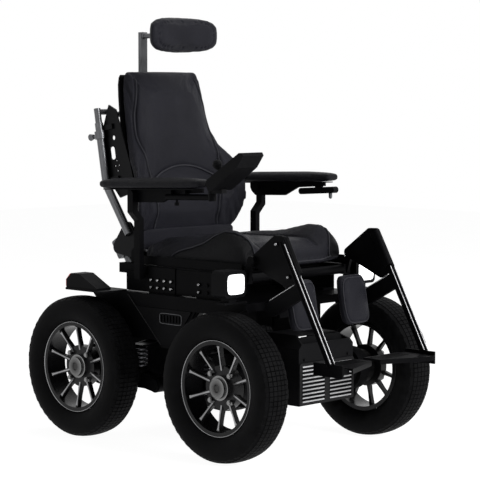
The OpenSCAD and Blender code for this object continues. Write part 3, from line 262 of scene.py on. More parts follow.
finishes = {
    "satin_black": mottled("powder_coat", (0.0015, 0.0015, 0.0018), (0.0040, 0.0040, 0.0046),
                           rough=(0.34, 0.46), grain=700, depth=0.00010,
                           constants={"Specular IOR Level": 0.028}),
    "moulded_black": mottled("moulded_plastic", (0.0025, 0.0025, 0.0028), (0.0055, 0.0055, 0.0062),
                             rough=(0.42, 0.58), grain=1500, depth=0.00012,
                             constants={"Specular IOR Level": 0.04}),
    "dark_alloy": mottled("rim_alloy", (0.003, 0.003, 0.0034), (0.007, 0.007, 0.0078),
                          rough=(0.22, 0.34), grain=500, depth=0.00004,
                          constants={"Metallic": 0.2, "Specular IOR Level": 0.2}),
    "bright_alloy": mottled("polished_alloy", (0.16, 0.16, 0.165), (0.34, 0.34, 0.345),
                            rough=(0.16, 0.28), grain=400, depth=0.00004,
                            constants={"Metallic": 1.0}, squeeze=(0.05, 1, 1)),
    "grey_alloy": mottled("anodised_alloy", (0.050, 0.051, 0.054), (0.130, 0.132, 0.138),
                          rough=(0.28, 0.40), grain=600, depth=0.00005,
                          constants={"Metallic": 0.9}, squeeze=BRUSHED_UPRIGHT),
    "spring_steel": mottled("spring_steel", (0.05, 0.05, 0.055), (0.13, 0.13, 0.14),
                            rough=(0.25, 0.4), grain=500, depth=0.00005,
                            constants={"Metallic": 1.0}),
    "battery_case": mottled("battery_case", (0.010, 0.011, 0.012), (0.020, 0.021, 0.023),
                            rough=(0.45, 0.6), grain=900, depth=0.0001,
                            constants={"Specular IOR Level": 0.15}),
    "grille_grey": mottled("grille_plate", (0.003, 0.003, 0.0035), (0.007, 0.007, 0.0075),
                           rough=(0.32, 0.45), grain=800, depth=0.00008,
                           constants={"Specular IOR Level": 0.1}),
    # Light grey cords along the leg rails' corners take this paint, as painted highlights on their
    # edges.
    "painted_edge_highlight": mottled("painted_edge_highlight", (0.42, 0.42, 0.43), (0.58, 0.58, 0.59),
                          rough=(0.30, 0.40), grain=60, depth=0.00001,
                          constants={"Metallic": 0.5}),
    "strip_grey": mottled("strip_paint", (0.36, 0.36, 0.37), (0.50, 0.50, 0.51),
                          rough=(0.42, 0.55), grain=900, depth=0.00005, constants={}),
    "button_red": mottled("red_cap", (0.35, 0.012, 0.01), (0.5, 0.025, 0.02),
                          rough=(0.3, 0.42), grain=900, depth=0.00005, constants={}),
    "button_grey": mottled("grey_cap", (0.42, 0.42, 0.43), (0.55, 0.55, 0.56),
                           rough=(0.35, 0.48), grain=900, depth=0.00005, constants={}),
}
print(len(finishes), "hard finishes")

# %% [markdown]
# Rubber is dull and dusty in patches. Leather is a net of creases over soft wrinkles, and shinier
# where it is stretched. A picture could be wrapped round each pad, but a pattern that is worked
# out from the place of a point has no seams of its own. Where the seat's sides lie outside its
# piping, an attribute of its skin marks them, and their leather is painted darker as shade.

# %% Rubber and leather
TOP_SPAN = 0.625
TOP_FLOOR = 0.375
SIDE_SPAN = 0.15


def rubber(name):
    material, shader, root = paint(name, {"Specular IOR Level": 0.04})
    dust = cloud(root, 30.0, 6.0)
    speck = cloud(root, 900.0, 2.0)
    feed(shader, {"Base Color": mix(fade(dust, 0.4, 0.75), (0.0016, 0.0016, 0.0018),
                                    (0.0055, 0.0055, 0.0060)),
                  "Roughness": fade(dust, 0.3, 0.7, 0.5, 0.72),
                  "Normal": relief(speck, 0.00025)})
    return material


def leather(name, dark, light, shade_attribute=None):
    material, shader, root = paint(name, {"Specular IOR Level": 0.07})
    place = root.node("TexCoord", out="Object")
    swirl = root.node("TexNoise", {}, {"Vector": place, "Scale": 120.0}, "Color")
    bent = root.node("Mix", {"data_type": "VECTOR"},
                     {0: 0.004, VECTOR_A: place, VECTOR_B: swirl}, VECTOR_OUT)
    cells = root.node("TexVoronoi", {"feature": "DISTANCE_TO_EDGE"},
                      {"Vector": bent, "Scale": 480.0})
    pebble = fade(cells, 0.0, 0.16)
    wrinkle = cloud(root, 46.0, 5.0)
    tone = cloud(root, 7.0, 3.0)
    shade = fade(tone * 0.7 + pebble * 0.3, 0.35, 0.75)
    # Marked points keep only the darkest part of the tint range, which is painted shade. Unmarked
    # points keep the upper part.
    if shade_attribute:
        side = root.node("Attribute", {"attribute_name": shade_attribute}, out="Fac")
        shade = shade * (TOP_SPAN - side * (TOP_SPAN - SIDE_SPAN)) + (1.0 - side) * TOP_FLOOR
    feed(shader, {"Base Color": mix(shade, dark, light),
                  "Roughness": fade(wrinkle * 0.6 + pebble * 0.4, 0.3, 0.8, 0.52, 0.38),
                  "Normal": relief(pebble * 0.5 + wrinkle, 0.0006)})
    return material


LEATHER_LIGHT = (0.0150, 0.0150, 0.0200)
finishes["tread_rubber"] = rubber("tyre_rubber")
finishes["black_leather"] = leather("black_leather", (0.0075, 0.0075, 0.0104), LEATHER_LIGHT)
# The arm pads take a darker copy of the same leather, which is painted shade.
finishes["shaded_arm_leather"] = leather("shaded_arm_leather", (0.0040, 0.0040, 0.0054), (0.0080, 0.0080, 0.0104))
print("rubber and leather")

# %% [markdown]
# The headlamps are lit, so their glass glows white behind faint upright flutes, and the tail lamps
# are clear red with finer ones. The back frame is one solid with two finishes: its posts are bare
# brushed alloy and its plates are black, so its paint changes with the distance from the middle.


# %% Lamps and back frame
def lamp_glass(name, colour, glow, flutes):
    material, shader, root = paint(name, {"Roughness": 0.12, "Coat Weight": 0.6,
                                          "Emission Strength": glow})
    prism = root.node("TexWave", {"bands_direction": "X"},
                      {"Vector": root.node("TexCoord", out="Object"), "Scale": flutes,
                       "Distortion": 0.0})
    tint = mix(prism, tuple(0.82 * c for c in colour), colour)
    feed(shader, {"Base Color": tint, "Emission Color": tint, "Normal": relief(prism, 0.0006)})
    return material


def two_tone(name, inner, outer, edge):
    material, shader, root = paint(name, {"Metallic": 0.9})
    across = root.node("SeparateXYZ", {}, {0: root.node("TexCoord", out="Object")})
    outside = fade(across.sum("ABSOLUTE", across, 0), edge - 0.0002, edge + 0.0002)
    brushed = cloud(root, 600, 3.0, 0.6, BRUSHED_UPRIGHT)
    feed(shader, {"Base Color": mix(outside * fade(brushed, *NOISE_SPAN, 0.7, 1.0), inner, outer),
                  "Roughness": fade(brushed, *NOISE_SPAN, 0.28, 0.40),
                  "Normal": relief(brushed, 0.00005)})
    return material


finishes["lamp_glass"] = lamp_glass("headlamp_glass", (1.0, 1.0, 1.0), 2.2, 30.0)
finishes["lamp_red"] = lamp_glass("tail_lamp_glass", (0.62, 0.010, 0.012), 0.35, 60.0)
for entry in frame["record"]["subparts"]:
    skin = nodes[entry["node"]].data
    skin.materials.clear()
    skin.materials.append(finishes[entry["material_slot"]])
posts = nodes["back_frame"].data
posts.materials.clear()
posts.materials.append(two_tone("post_and_plate", (0.003, 0.003, 0.0035), (0.13, 0.132, 0.138),
                                edge=0.1985))
print(len(finishes), "finishes on", len(nodes), "nodes")

# %% [markdown]
# A few tools serve every piece. One hands a finished mesh to its body and finish, one bakes
# modifiers into a mesh, and one lays a round cord along points. Modifiers could stay live, but a
# baked mesh looks the same everywhere. A piece's place is in its mesh, so its object stays at the
# origin.

# %% Shared tools
SIDES = (("left", 1), ("right", -1))


def hand_in(name, bm, slot, body, sharp=35.0, material=None):
    bmesh.ops.recalc_face_normals(bm, faces=bm.faces)
    mesh = bpy.data.meshes.new(name)
    bm.to_mesh(mesh)
    bm.free()
    return dress(name, mesh, slot, body, sharp, material)


def dress(name, mesh, slot, body, sharp, material=None):
    mesh.materials.clear()
    mesh.materials.append(material or finishes[slot])
    mesh.shade_smooth()
    mesh.set_sharp_from_angle(angle=math.radians(sharp))
    made = bpy.data.objects.new(name, mesh)
    scene.collection.objects.link(made)
    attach(made, body)
    return made


def baked(holder):
    ready = holder.evaluated_get(bpy.context.evaluated_depsgraph_get())
    return bpy.data.meshes.new_from_object(ready)


def tube(points, radius, closed=False, roundness=2):
    curve = bpy.data.curves.new("path", "CURVE")
    curve.dimensions = "3D"
    curve.bevel_depth = radius
    curve.bevel_resolution = roundness
    curve.use_fill_caps = True
    spline = curve.splines.new("POLY")
    spline.points.add(len(points) - 1)
    for knot, point in zip(spline.points, points):
        knot.co = (*point, 1)
    spline.use_cyclic_u = closed
    holder = bpy.data.objects.new("path", curve)
    scene.collection.objects.link(holder)
    mesh = baked(holder)
    bpy.data.objects.remove(holder)
    return mesh


print("tools ready")

# %% [markdown]
# A tyre is moulded in one piece: a section is turned round the axle, and the mould's crown is cut
# into blocks. A relief in the paint could draw the blocks, but they show at the tyre's outline. So
# the section is spun, the crown's faces are inset one by one so that each rises as a block, and
# every second shoulder face becomes a side lug. The points give across and radius in metres.

# %% Tyres
CORNERS = ("front_left", "front_right", "rear_left", "rear_right")
SIDEWALL = ((0.0345, 0.1402), (0.0425, 0.1455), (0.0492, 0.1560), (0.0524, 0.1700),
            (0.0528, 0.1830), (0.0508, 0.1950), (0.0462, 0.2042), (0.0375, 0.2098))
CROWN = ((0.0230, 0.2125), (0.0078, 0.2137))
FACETS = 96
TREAD_HALF = 0.036
TREAD_FROM = 0.2
SHOULDER_FROM = 0.2055


def axle_of(corner):
    low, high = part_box("tyre_" + corner)
    return (low + high) / 2


def spun(points):
    bm = bmesh.new()
    ring = [bm.verts.new((across, 0, radius)) for across, radius in points]
    edges = [bm.edges.new(pair) for pair in zip(ring, ring[1:] + ring[:1])]
    bmesh.ops.spin(bm, geom=ring + edges, cent=(0, 0, 0), axis=(1, 0, 0), angle=2 * math.pi,
                   steps=FACETS, use_merge=True)
    bmesh.ops.recalc_face_normals(bm, faces=bm.faces)
    return bm


half = SIDEWALL + CROWN
section = [(-across, radius) for across, radius in half]
section += [(across, radius) for across, radius in reversed(half)]
for corner in CORNERS:
    bm = spun(section)
    tread = []
    lugs = []
    for face in bm.faces:
        middle = face.calc_center_median()
        reach = math.hypot(middle.y, middle.z)
        facet = int(math.atan2(middle.z, middle.y) * FACETS / (2 * math.pi))
        if abs(middle.x) < TREAD_HALF and reach > TREAD_FROM:
            tread.append(face)
        elif reach > SHOULDER_FROM and facet % 2:
            lugs.append(face)
    bmesh.ops.inset_individual(bm, faces=tread, thickness=0.0014, depth=0.0026,
                               use_even_offset=True)
    bmesh.ops.inset_individual(bm, faces=lugs, thickness=0.0012, depth=0.0012,
                               use_even_offset=True)
    bmesh.ops.translate(bm, verts=bm.verts, vec=axle_of(corner))
    tyre = hand_in("tread_tyre_" + corner, bm, "tread_rubber", "wheel_" + corner, 30)
    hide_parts("tyre_" + corner)
    print(tyre.name, len(tyre.data.polygons), "faces")

# %% [markdown]
# The rims are cast dark and then cut bright where the tool reaches: at the lip and along the ridge
# of each spoke. The paint could change there, but real edges catch the light. The lip is a thin
# ring spun from a small section. A ridge is a strip with a broader foot at the rim, raised by an
# extrusion and leant with the spoke's dish.

# %% Bright lips and ridges
SPOKES = 10
DISH = 0.2
RIDGE = ((0.050, 0.0026), (0.085, 0.0020), (0.112, 0.0026), (0.121, 0.0046))
RIDGE_RISE = 0.0024
SPOKE_FROM = 0.0515
SPOKE_FACE = 0.0104
LIP = ((0.0367, 0.1362), (0.0378, 0.1366), (0.0384, 0.1375), (0.0380, 0.1385), (0.0367, 0.1389))


def ridge(bm, out, turn):
    rows = len(RIDGE) - 1
    strip = bmesh.ops.create_grid(bm, x_segments=1, y_segments=rows, size=1)["verts"]
    for vert in strip:
        reach, half = RIDGE[round((vert.co.y + 1) / 2 * rows)]
        vert.co = (out * (SPOKE_FACE + (reach - SPOKE_FROM) * DISH), half * vert.co.x, reach)
    flat = [face for face in bm.faces if face.verts[0] in strip]
    grown = bmesh.ops.extrude_face_region(bm, geom=flat)["geom"]
    tops = [item for item in grown if isinstance(item, bmesh.types.BMVert)]
    bmesh.ops.translate(bm, verts=tops, vec=(out * RIDGE_RISE, 0, 0))
    bmesh.ops.rotate(bm, verts=strip + tops, cent=(0, 0, 0), matrix=Matrix.Rotation(turn, 3, "X"))


for corner in CORNERS:
    out = 1 if corner.endswith("left") else -1
    bm = spun([(out * across, radius) for across, radius in LIP])
    for number in range(SPOKES):
        ridge(bm, out, 2 * math.pi * number / SPOKES)
    bmesh.ops.translate(bm, verts=bm.verts, vec=axle_of(corner))
    bright = hand_in("rim_trim_" + corner, bm, "bright_alloy", "wheel_" + corner, 40)
    print(bright.name, len(bright.data.polygons), "faces")

# %% [markdown]
# A hub cap comes off a lathe, which leaves fine rings round its axle and a darker middle. Rings
# could be modelled, but they are far finer than a face, so a sine of the distance from the axle
# draws them in the paint. Each hub has its own paint, because each has its own axle.

# %% Turned hubs
RING_RATE = 9000.0


def radius_from(root, centre):
    away = root.node("VectorMath", {"operation": "SUBTRACT"},
                     {0: root.node("TexCoord", out="Object"), 1: tuple(centre)})
    parts = [root.node("SeparateXYZ", {}, {0: away}, axis) for axis in ("Y", "Z")]
    return (parts[0] * parts[0] + parts[1] * parts[1]) ** 0.5


def turned(name, centre):
    material, shader, root = paint(name, {"Metallic": 1.0})
    reach = radius_from(root, centre)
    rings = root.node("Math", {"operation": "SINE"}, {0: reach * RING_RATE})
    tone = fade(reach, 0.010, 0.036) * 0.8 + fade(rings, -1.0, 1.0) * 0.2
    feed(shader, {"Base Color": mix(tone, (0.020, 0.0195, 0.019), (0.22, 0.22, 0.22)),
                  "Roughness": fade(rings, -1.0, 1.0, 0.18, 0.30),
                  "Normal": relief(rings, 0.00002)})
    return material


for corner in CORNERS:
    hub = nodes["hub_" + corner].data
    hub.materials.clear()
    hub.materials.append(turned("turned_hub_" + corner, axle_of(corner)))
print(len(CORNERS), "turned hubs")

# %% [markdown]
# A coil spring is one rod wound on a mandrel. A cord along a worked out helix would do, but a
# circle that is spun and lifted at once is the same motion as the winding. The two ends are
# closed. The front coils start on the other side, so that they clear the swing arms.

# %% Springs
TURNS = 5
WIRE = 0.007
STEPS_A_TURN = 24
for corner in CORNERS:
    low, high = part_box("spring_" + corner)
    middle = (low + high) / 2
    coil = (high.x - low.x - WIRE) / 2
    rise = high.z - low.z - WIRE
    start = -coil if corner.startswith("front") else coil
    turn = Matrix.Translation((start, 0, low.z + WIRE / 2)) @ Matrix.Rotation(math.pi / 2, 4, "X")
    steps = TURNS * STEPS_A_TURN
    bm = bmesh.new()
    bmesh.ops.create_circle(bm, segments=10, radius=WIRE / 2, matrix=turn)
    bmesh.ops.spin(bm, geom=bm.verts[:] + bm.edges[:], cent=(0, 0, 0), axis=(0, 0, 1),
                   dvec=(0, 0, rise / steps), angle=TURNS * 2 * math.pi, steps=steps)
    bmesh.ops.holes_fill(bm, edges=[edge for edge in bm.edges if edge.is_boundary])
    bmesh.ops.translate(bm, verts=bm.verts, vec=(middle.x, middle.y, 0))
    spring = hand_in("coil_spring_" + corner, bm, "spring_steel", "chassis", 60)
    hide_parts("spring_" + corner)
    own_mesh(spring)
    print(spring.name, len(spring.data.polygons), "faces")

# %% [markdown]
# Each cushion is foam in a sewn leather cover. The cover is a little small for its foam, so it is
# drawn tight and crowns between its seams. It could be sculpted, but a cloth under pressure finds
# that form by itself. The CAD form is shrunk, given an even skin, and blown up by the cloth solver
# with its resting side pinned. No point may move further than a cap.

# %% Cushion tools
MERGE = 0.0002
PRESSURE = 4.0
LAST_FRAME = 20


def stuffed(node, name, body, cap, shrink, voxel, pinned):
    holder = bpy.data.objects.new(name, nodes[node].data.copy())
    scene.collection.objects.link(holder)
    bm = bmesh.new()
    bm.from_mesh(holder.data)
    bmesh.ops.remove_doubles(bm, verts=bm.verts, dist=MERGE)
    bmesh.ops.recalc_face_normals(bm, faces=bm.faces)
    bm.normal_update()
    for vert in bm.verts:
        if not pinned(vert.normal):
            vert.co -= vert.normal * shrink
    bm.to_mesh(holder.data)
    bm.free()
    skin = holder.modifiers.new("skin", "REMESH")
    skin.mode = "VOXEL"
    skin.voxel_size = voxel
    mesh = baked(holder)
    holder.modifiers.clear()
    holder.data = mesh
    blow_up(holder, cap, pinned)
    mesh = rounded(holder, 1)
    made = dress(name, mesh, "black_leather", body, 180)
    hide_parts(node)
    return made


def rounded(holder, levels):
    round_off = holder.modifiers.new("round_off", "SUBSURF")
    round_off.levels = levels
    round_off.render_levels = levels
    mesh = baked(holder)
    bpy.data.objects.remove(holder)
    return mesh


def blow_up(holder, cap, pinned):
    rest = [vert.co.copy() for vert in holder.data.vertices]
    grip = holder.vertex_groups.new(name="grip")
    grip.add([vert.index for vert in holder.data.vertices if pinned(vert.normal)], 1.0, "REPLACE")
    cloth = holder.modifiers.new("cover", "CLOTH")
    cloth.settings.quality = 4
    cloth.settings.vertex_group_mass = "grip"
    cloth.settings.use_pressure = True
    cloth.settings.uniform_pressure_force = PRESSURE
    cloth.settings.effector_weights.gravity = 0.0
    for step in range(1, LAST_FRAME + 1):
        scene.frame_set(step)
    mesh = baked(holder)
    holder.modifiers.clear()
    holder.data = mesh
    scene.frame_set(1)
    for vert, start in zip(mesh.vertices, rest):
        move = vert.co - start
        if move.length > cap:
            vert.co = start + move * (cap / move.length)


print("cushion tools ready")

# %% [markdown]
# Seams hold the shape of a cushion. They could be cut into the CAD form, but the even skin would
# lose them, so they come last. A few points are joined by a smooth line and dropped onto the skin,
# and every skin point near the line is drawn in. Piping is a thin covered cord sewn into such a
# seam, so it stands half proud of it.

# %% Seam tools
DOWN = (0, 0, -1)
REARWARD = (0, 1, 0)


def smooth_line(points, per_span=10):
    knots = [points[0]] + list(points) + [points[-1]]
    line = []
    for a, b, c, d in zip(knots, knots[1:], knots[2:], knots[3:]):
        for step in range(per_span):
            t = step / per_span
            line.append(0.5 * (2 * b + (c - a) * t + (2 * a - 5 * b + 4 * c - d) * t * t
                               + (3 * b - a - 3 * c + d) * t ** 3))
    return line + [points[-1]]


def dropped(cushion, points, toward):
    skin = BVHTree.FromPolygons([vert.co for vert in cushion.data.vertices],
                                [face.vertices for face in cushion.data.polygons])
    toward = Vector(toward)
    hits = [skin.ray_cast(point - toward * 2, toward)[0] for point in points]
    return [hit for hit in hits if hit is not None]


def draw_in(cushion, line, width, depth):
    near = KDTree(len(line))
    for index, point in enumerate(line):
        near.insert(point, index)
    near.balance()
    normals = [normal.vector.copy() for normal in cushion.data.vertex_normals]
    for vert, normal in zip(cushion.data.vertices, normals):
        reach = near.find(vert.co)[2]
        if reach < width:
            vert.co -= normal * depth * (1 - (reach / width) ** 2) ** 2


def piping(name, line, radius, body, closed=False):
    cord = dress(name, tube(line, radius, closed, 3), "black_leather", body, 180, finishes["piping"])
    print(cord.name, round(sum((b - a).length for a, b in zip(line, line[1:])), 2), "m long")


def both_sides(points):
    return [[Vector((side * x, y, z)) for x, y, z in points] for side in (1, -1)]


# The piping's leather is a lighter copy of the cover's. The cord is real, and its lighter tint is a
# painted highlight along it.
finishes["piping"] = leather("piping_leather_painted_highlight", (0.022, 0.022, 0.026), (0.048, 0.048, 0.056))
print("seam tools ready")

# %% [markdown]
# The seat is a deep cushion with two thigh bolsters. Piping follows the top of each bolster and
# meets along the front edge, and a sewn channel lies inside each. Outside the piping, the cover's
# sides are painted darker as shade. The points of the rim are listed from the back to the front.

# %% Seat cushion
RIM = ((0.2195, 0.180, 0), (0.2190, 0.140, 0), (0.2150, 0.100, 0), (0.2055, 0.061, 0),
       (0.1960, 0.000, 0), (0.1880, -0.060, 0), (0.1870, -0.100, 0), (0.1890, -0.140, 0),
       (0.1820, -0.180, 0), (0.1630, -0.2060, 0), (0.1350, -0.2120, 0))
CHANNEL = ((0.128, 0.190, 0), (0.126, 0.060, 0), (0.122, -0.080, 0), (0.118, -0.190, 0))
PAST_FRONT = 1.0


def rim_at(y):
    for (x1, y1, _), (x2, y2, _) in zip(RIM, RIM[1:]):
        if y2 <= y <= y1:
            return x1 + (x2 - x1) * (y - y1) / (y2 - y1)
    return RIM[0][0] if y > RIM[0][1] else PAST_FRONT


seat = stuffed("seat_cushion", "seat_leather", "chassis", cap=0.010, shrink=0.005, voxel=0.0055,
               pinned=lambda n: n.z < -0.6)
near_edge, far_edge = both_sides(RIM)
cord = dropped(seat, smooth_line(near_edge + far_edge[::-1]), DOWN)
draw_in(seat, cord, 0.009, 0.0025)
for channel in both_sides(CHANNEL):
    draw_in(seat, dropped(seat, smooth_line(channel), DOWN), 0.010, 0.004)
# The skin outside the piping's outline is marked, and the seat's leather paints shade there.
mark = seat.data.attributes.new("painted_shade_side", "FLOAT", "POINT")
for vert, value in zip(seat.data.vertices, mark.data):
    value.value = float(abs(vert.co.x) > rim_at(vert.co.y))
seat.data.materials[0] = leather("seat_leather", (0.0030, 0.0030, 0.0034), LEATHER_LIGHT,
                                 "painted_shade_side")
piping("seat_piping", cord, 0.0024, "chassis")
print(seat.name, len(seat.data.polygons), "faces")

# %% [markdown]
# The back cushion has a middle panel between two long curved seams, and an arched seam over the
# small of the back. The cushion leans, but its seams are given as they look from straight ahead,
# and are dropped onto it from there. The points of a side seam are listed from the top down.

# %% Back cushion
SIDE_SEAM = ((0.128, 0, 1.095), (0.136, 0, 1.060), (0.150, 0, 1.000), (0.1595, 0, 0.939),
             (0.1627, 0, 0.909), (0.1600, 0, 0.880), (0.1565, 0, 0.850), (0.1550, 0, 0.823),
             (0.1460, 0, 0.770), (0.1350, 0, 0.7135), (0.1326, 0, 0.666), (0.1370, 0, 0.634))
ARCH_FOOT = 0.7905
ARCH_RISE = 0.037
back_pad = stuffed("back_cushion", "back_leather", "back", cap=0.010, shrink=0.005, voxel=0.0055,
                   pinned=lambda n: n.y > 0.55)
for number, line in enumerate(both_sides(SIDE_SEAM)):
    seam = dropped(back_pad, smooth_line(line), REARWARD)
    draw_in(back_pad, seam, 0.011, 0.006)
    piping("back_side_piping_%d" % number, seam, 0.0016, "back")
arch = [Vector((x / 100, 0, ARCH_FOOT + ARCH_RISE * (1 - (x / 13.1) ** 2))) for x in range(-13, 14)]
seam = dropped(back_pad, smooth_line(arch, 4), REARWARD)
draw_in(back_pad, seam, 0.012, 0.003)
piping("back_arch_piping", seam, 0.0026, "back")
print(back_pad.name, len(back_pad.data.polygons), "faces")

# %% [markdown]
# The smaller pads are made the same way: the headrest on its plate, the two arm pads on their
# beams and the two calf pads, whose front panel is edged with piping. A welt runs round a pad as a
# rounded rectangle, which is a circle whose sine and cosine are raised to a power below one.

# %% Small pads
LOOP_POINTS = 32
CALF_LEAN = math.radians(11)


def loop(middle, half_w, half_h, power, lean=0.0):
    points = []
    for number in range(LOOP_POINTS):
        angle = 2 * math.pi * number / LOOP_POINTS
        x = math.copysign(abs(math.cos(angle)) ** power, math.cos(angle)) * half_w
        z = math.copysign(abs(math.sin(angle)) ** power, math.sin(angle)) * half_h
        points.append(middle + Vector((x, z * math.tan(lean), z)))
    return points


head = stuffed("headrest_pad", "headrest_leather", "headrest", cap=0.006, shrink=0.003,
               voxel=0.0045, pinned=lambda n: n.y > 0.75)
low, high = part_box("headrest_pad")
welt = loop((low + high) / 2, 0.118, 0.040, 0.5)
draw_in(head, dropped(head, welt + welt[:1], REARWARD), 0.008, 0.0025)
print(head.name, len(head.data.polygons), "faces")
for name, _ in SIDES:
    pad = stuffed("arm_pad_" + name, "shaded_arm_leather_" + name, "armrest_" + name, cap=0.004,
                  shrink=0.0025, voxel=0.0045, pinned=lambda n: n.z < -0.7)
    # The arm pads wear the darker leather as painted shade.
    pad.data.materials[0] = finishes["shaded_arm_leather"]
    calf = stuffed("calf_pad_" + name, "calf_leather_" + name, "calf_pad_" + name, cap=0.006,
                   shrink=0.003, voxel=0.0045, pinned=lambda n: n.y > 0.6)
    low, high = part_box("calf_pad_" + name)
    middle = Vector(((low.x + high.x) / 2, -0.3469, 0.4450))
    welt = dropped(calf, loop(middle, 0.050, 0.066, 0.42, CALF_LEAN), REARWARD)
    draw_in(calf, welt, 0.007, 0.002)
    piping("calf_piping_" + name, welt, 0.0017, "calf_pad_" + name, True)
    print(pad.name, calf.name, len(pad.data.polygons) + len(calf.data.polygons), "faces")

# %% [markdown]
# The back cover ends in a tail of leather that is tucked behind the seat, so no light shows
# between the two cushions. It is too small to need a cloth: a thin block is cut into a grid,
# rounded by a subdivision and baked.

# %% Back tail
TAIL_MIDDLE = (0, 0.239, 0.6035)
TAIL_SIZE = (0.396, 0.014, 0.067)
bm = bmesh.new()
bmesh.ops.create_cube(bm, size=1, matrix=Matrix.Translation(TAIL_MIDDLE)
                      @ Matrix.Diagonal((*TAIL_SIZE, 1)))
bmesh.ops.subdivide_edges(bm, edges=bm.edges[:], cuts=3, use_grid_fill=True)
mesh = bpy.data.meshes.new("tail")
bm.to_mesh(mesh)
bm.free()
holder = bpy.data.objects.new("tail", mesh)
scene.collection.objects.link(holder)
tail = dress("back_tail", rounded(holder, 2), "black_leather", "back", 180)
print(tail.name, len(tail.data.polygons), "faces")

# %% [markdown]
# Each leg rail is an extruded black bar whose front corners catch the light, and so do the calf
# arm's upper edges. These highlights are painted: a thin light grey cord is laid along each corner.
# A paint could find the corners by their angle, but they are too fine for that at this distance. A
# point on a rail is given by how far it lies across, ahead of and down from the rail's top.

# %% Rail edges
RAKE = math.radians(28.5)
RAIL_TOP = Vector((0.206, -0.3581, 0.635))
EDGE_RADIUS = 0.0013
RAIL_EDGES = {"outer": ((0.0080, 0.0088, 0.012), (0.0080, 0.0088, 0.380)),
              "inner": ((-0.0078, 0.0088, 0.110), (-0.0078, 0.0088, 0.380)),
              "arm_outer": ((0.0074, -0.014, 0.1290), (0.0074, -0.120, 0.1290)),
              "arm_inner": ((-0.0074, -0.014, 0.1290), (-0.0074, -0.120, 0.1290))}


def on_rail(side, across, ahead, down):
    return Vector((side * (RAIL_TOP.x + across),
                   RAIL_TOP.y - down * math.sin(RAKE) - ahead * math.cos(RAKE),
                   RAIL_TOP.z - down * math.cos(RAKE) + ahead * math.sin(RAKE)))


for name, side in SIDES:
    for part, ends in RAIL_EDGES.items():
        # Each cord is a painted highlight along the rail's corner.
        mesh = tube([on_rail(side, *end) for end in ends], EDGE_RADIUS)
        dress("rail_edge_%s_%s" % (part, name), mesh, "bright_alloy", "legrest_" + name, 60,
              finishes["painted_edge_highlight"])
    print(len(RAIL_EDGES), "bright edges on the", name, "rail")

# %% [markdown]
# The front plate is black with plain light grey strips painted between its louvres. The plate's
# paint could draw them, but thin slabs keep their edges clean. Their rows follow the louvres'
# pitch.

# %% Front strips
LOUVRES = 9
PLATE_BORDER = 0.011
STRIP_MIDDLE = 0.0595
STRIP_HALF = 0.047
STRIP_HALF_HEIGHT = 0.0019


def slab(bm, low, high):
    low = Vector(low)
    high = Vector(high)
    bmesh.ops.create_cube(bm, size=1, matrix=Matrix.Translation((low + high) / 2)
                          @ Matrix.Diagonal((*(high - low), 1)))


low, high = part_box("front_grille")
pitch = (high.z - low.z - 2 * PLATE_BORDER) / LOUVRES
bm = bmesh.new()
for side in (-1, 1):
    for number in range(LOUVRES + 1):
        x = side * STRIP_MIDDLE
        z = low.z + PLATE_BORDER + number * pitch
        slab(bm, (x - STRIP_HALF, low.y - 0.0007, z - STRIP_HALF_HEIGHT),
             (x + STRIP_HALF, low.y + 0.0003, z + STRIP_HALF_HEIGHT))
strips = hand_in("front_strips", bm, "grille_grey", "chassis", 30, finishes["strip_grey"])
print(strips.name, len(strips.data.polygons), "faces")

# %% [markdown]
# Plain dark sheets line the rear wheels' wells behind the side panels, up to a flange under the
# fender. The seat pan is folded up along the cushion's foot, and a patch closes the notch round
# each armrest post. On the real chair they are cut and folded sheet. Here each is a thin slab, and
# a plane cuts the liner's slanted corner. A fine cord marks the panel's slanted edge.

# %% Dark sheets
LINER = ((0.2395, 0.100, 0.312), (0.2425, 0.425, 0.4465))
FLANGE = ((0.2395, 0.2725, 0.4465), (0.2580, 0.420, 0.4518))
SEAT_LIP = ((0.2232, -0.2150, 0.5355), (0.2257, 0.2215, 0.5620))
POST_PATCH = ((0.2335, 0.1655, 0.4845), (0.2365, 0.2110, 0.5055))
SLANT_FROM = (0, 0.300, 0.312)
SLANT_NORMAL = (0, 0.744, -0.668)
PANEL_EDGE = ((0.2578, 0.2340, 0.4440), (0.2578, 0.0920, 0.3035))


def folded(bm, side, low, high):
    ends = sorted((side * low[0], side * high[0]))
    slab(bm, (ends[0], *low[1:]), (ends[1], *high[1:]))


for name, side in SIDES:
    bm = bmesh.new()
    folded(bm, side, *LINER)
    bmesh.ops.bisect_plane(bm, geom=bm.verts[:] + bm.edges[:] + bm.faces[:], plane_co=SLANT_FROM,
                           plane_no=SLANT_NORMAL, clear_outer=True)
    bmesh.ops.holes_fill(bm, edges=bm.edges[:])
    folded(bm, side, *FLANGE)
    liner = hand_in("well_liner_" + name, bm, "satin_black", "chassis", 30)
    bm = bmesh.new()
    folded(bm, side, *SEAT_LIP)
    folded(bm, side, *POST_PATCH)
    lip = hand_in("seat_lip_" + name, bm, "satin_black", "chassis", 30)
    slant = [Vector((side * x, y, z)) for x, y, z in PANEL_EDGE]
    edge = dress("panel_edge_" + name, tube(slant, EDGE_RADIUS), "dark_alloy", "chassis", 60)
    print(liner.name, len(liner.data.polygons), lip.name, len(lip.data.polygons), "faces, and",
          edge.name)

# %% [markdown]
# Bright bolts hold the seat brackets and the knee plates. A round dot of paint would lie flat, so
# each bolt head is a short cone that catches the light at its rim.

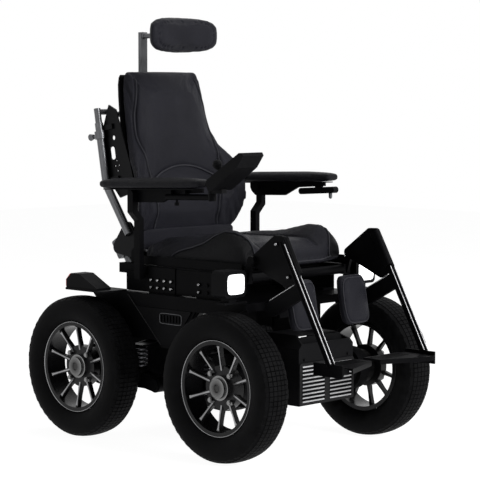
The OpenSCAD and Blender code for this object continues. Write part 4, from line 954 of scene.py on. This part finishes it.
# %% Bolts
SEAT_BOLT_X = 0.2412
SEAT_BOLT_Y = (0.0659, 0.0945, 0.1232, 0.1519, -0.0521, -0.1168)
SEAT_BOLT_Z = (0.470, 0.492)
KNEE_BOLTS = ((0.2154, -0.3378, 0.6263), (0.2154, -0.3847, 0.5357))


def bolt(bm, place, side):
    turn = Matrix.Translation(place) @ Matrix.Rotation(side * math.pi / 2, 4, "Y")
    bmesh.ops.create_cone(bm, cap_ends=True, segments=12, radius1=0.0046, radius2=0.0034,
                          depth=0.003, matrix=turn)


bm = bmesh.new()
for side in (-1, 1):
    for y in SEAT_BOLT_Y:
        for z in SEAT_BOLT_Z:
            bolt(bm, (side * SEAT_BOLT_X, y, z), side)
bolts = hand_in("seat_bolts", bm, "bright_alloy", "chassis")
print(bolts.name, len(bolts.data.polygons), "faces")
for name, side in SIDES:
    bm = bmesh.new()
    for x, y, z in KNEE_BOLTS:
        bolt(bm, (side * x, y, z), side)
    bolts = hand_in("knee_bolts_" + name, bm, "bright_alloy", "legrest_" + name)
    print(bolts.name, len(bolts.data.polygons), "faces")

# %% [markdown]
# The side vents and the headlamps are framed by thin rings of trim. A ring could be cut from a
# plate, but it is so slim that a bent rod looks the same. The rounded rectangle that gave the
# welts gives its path. A vent lies in the side panel, so its ring is turned to face sideways.

# %% Frames
VENT_MIDDLE = Vector((0.0489, 0, 0.3830))
VENT_FACE = 0.2572
LAMP_MIDDLE = 0.285
low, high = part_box("headlamp_lenses")
for name, side in SIDES:
    path = loop(VENT_MIDDLE, 0.0465, 0.0155, 0.3)
    ring = [Vector((side * VENT_FACE, point.x, point.z)) for point in path]
    vent = dress("vent_frame_" + name, tube(ring, 0.0011, True), "grey_alloy", "chassis", 60)
    middle = Vector((side * LAMP_MIDDLE, low.y + 0.0005, (low.z + high.z) / 2))
    ring = loop(middle, 0.0352, 0.0297, 0.4)
    bezel = dress("lamp_bezel_" + name, tube(ring, 0.0014, True), "grey_alloy", "chassis", 60)
    print(vent.name, bezel.name)

# %% [markdown]

# %% End
print("the chair is dressed")
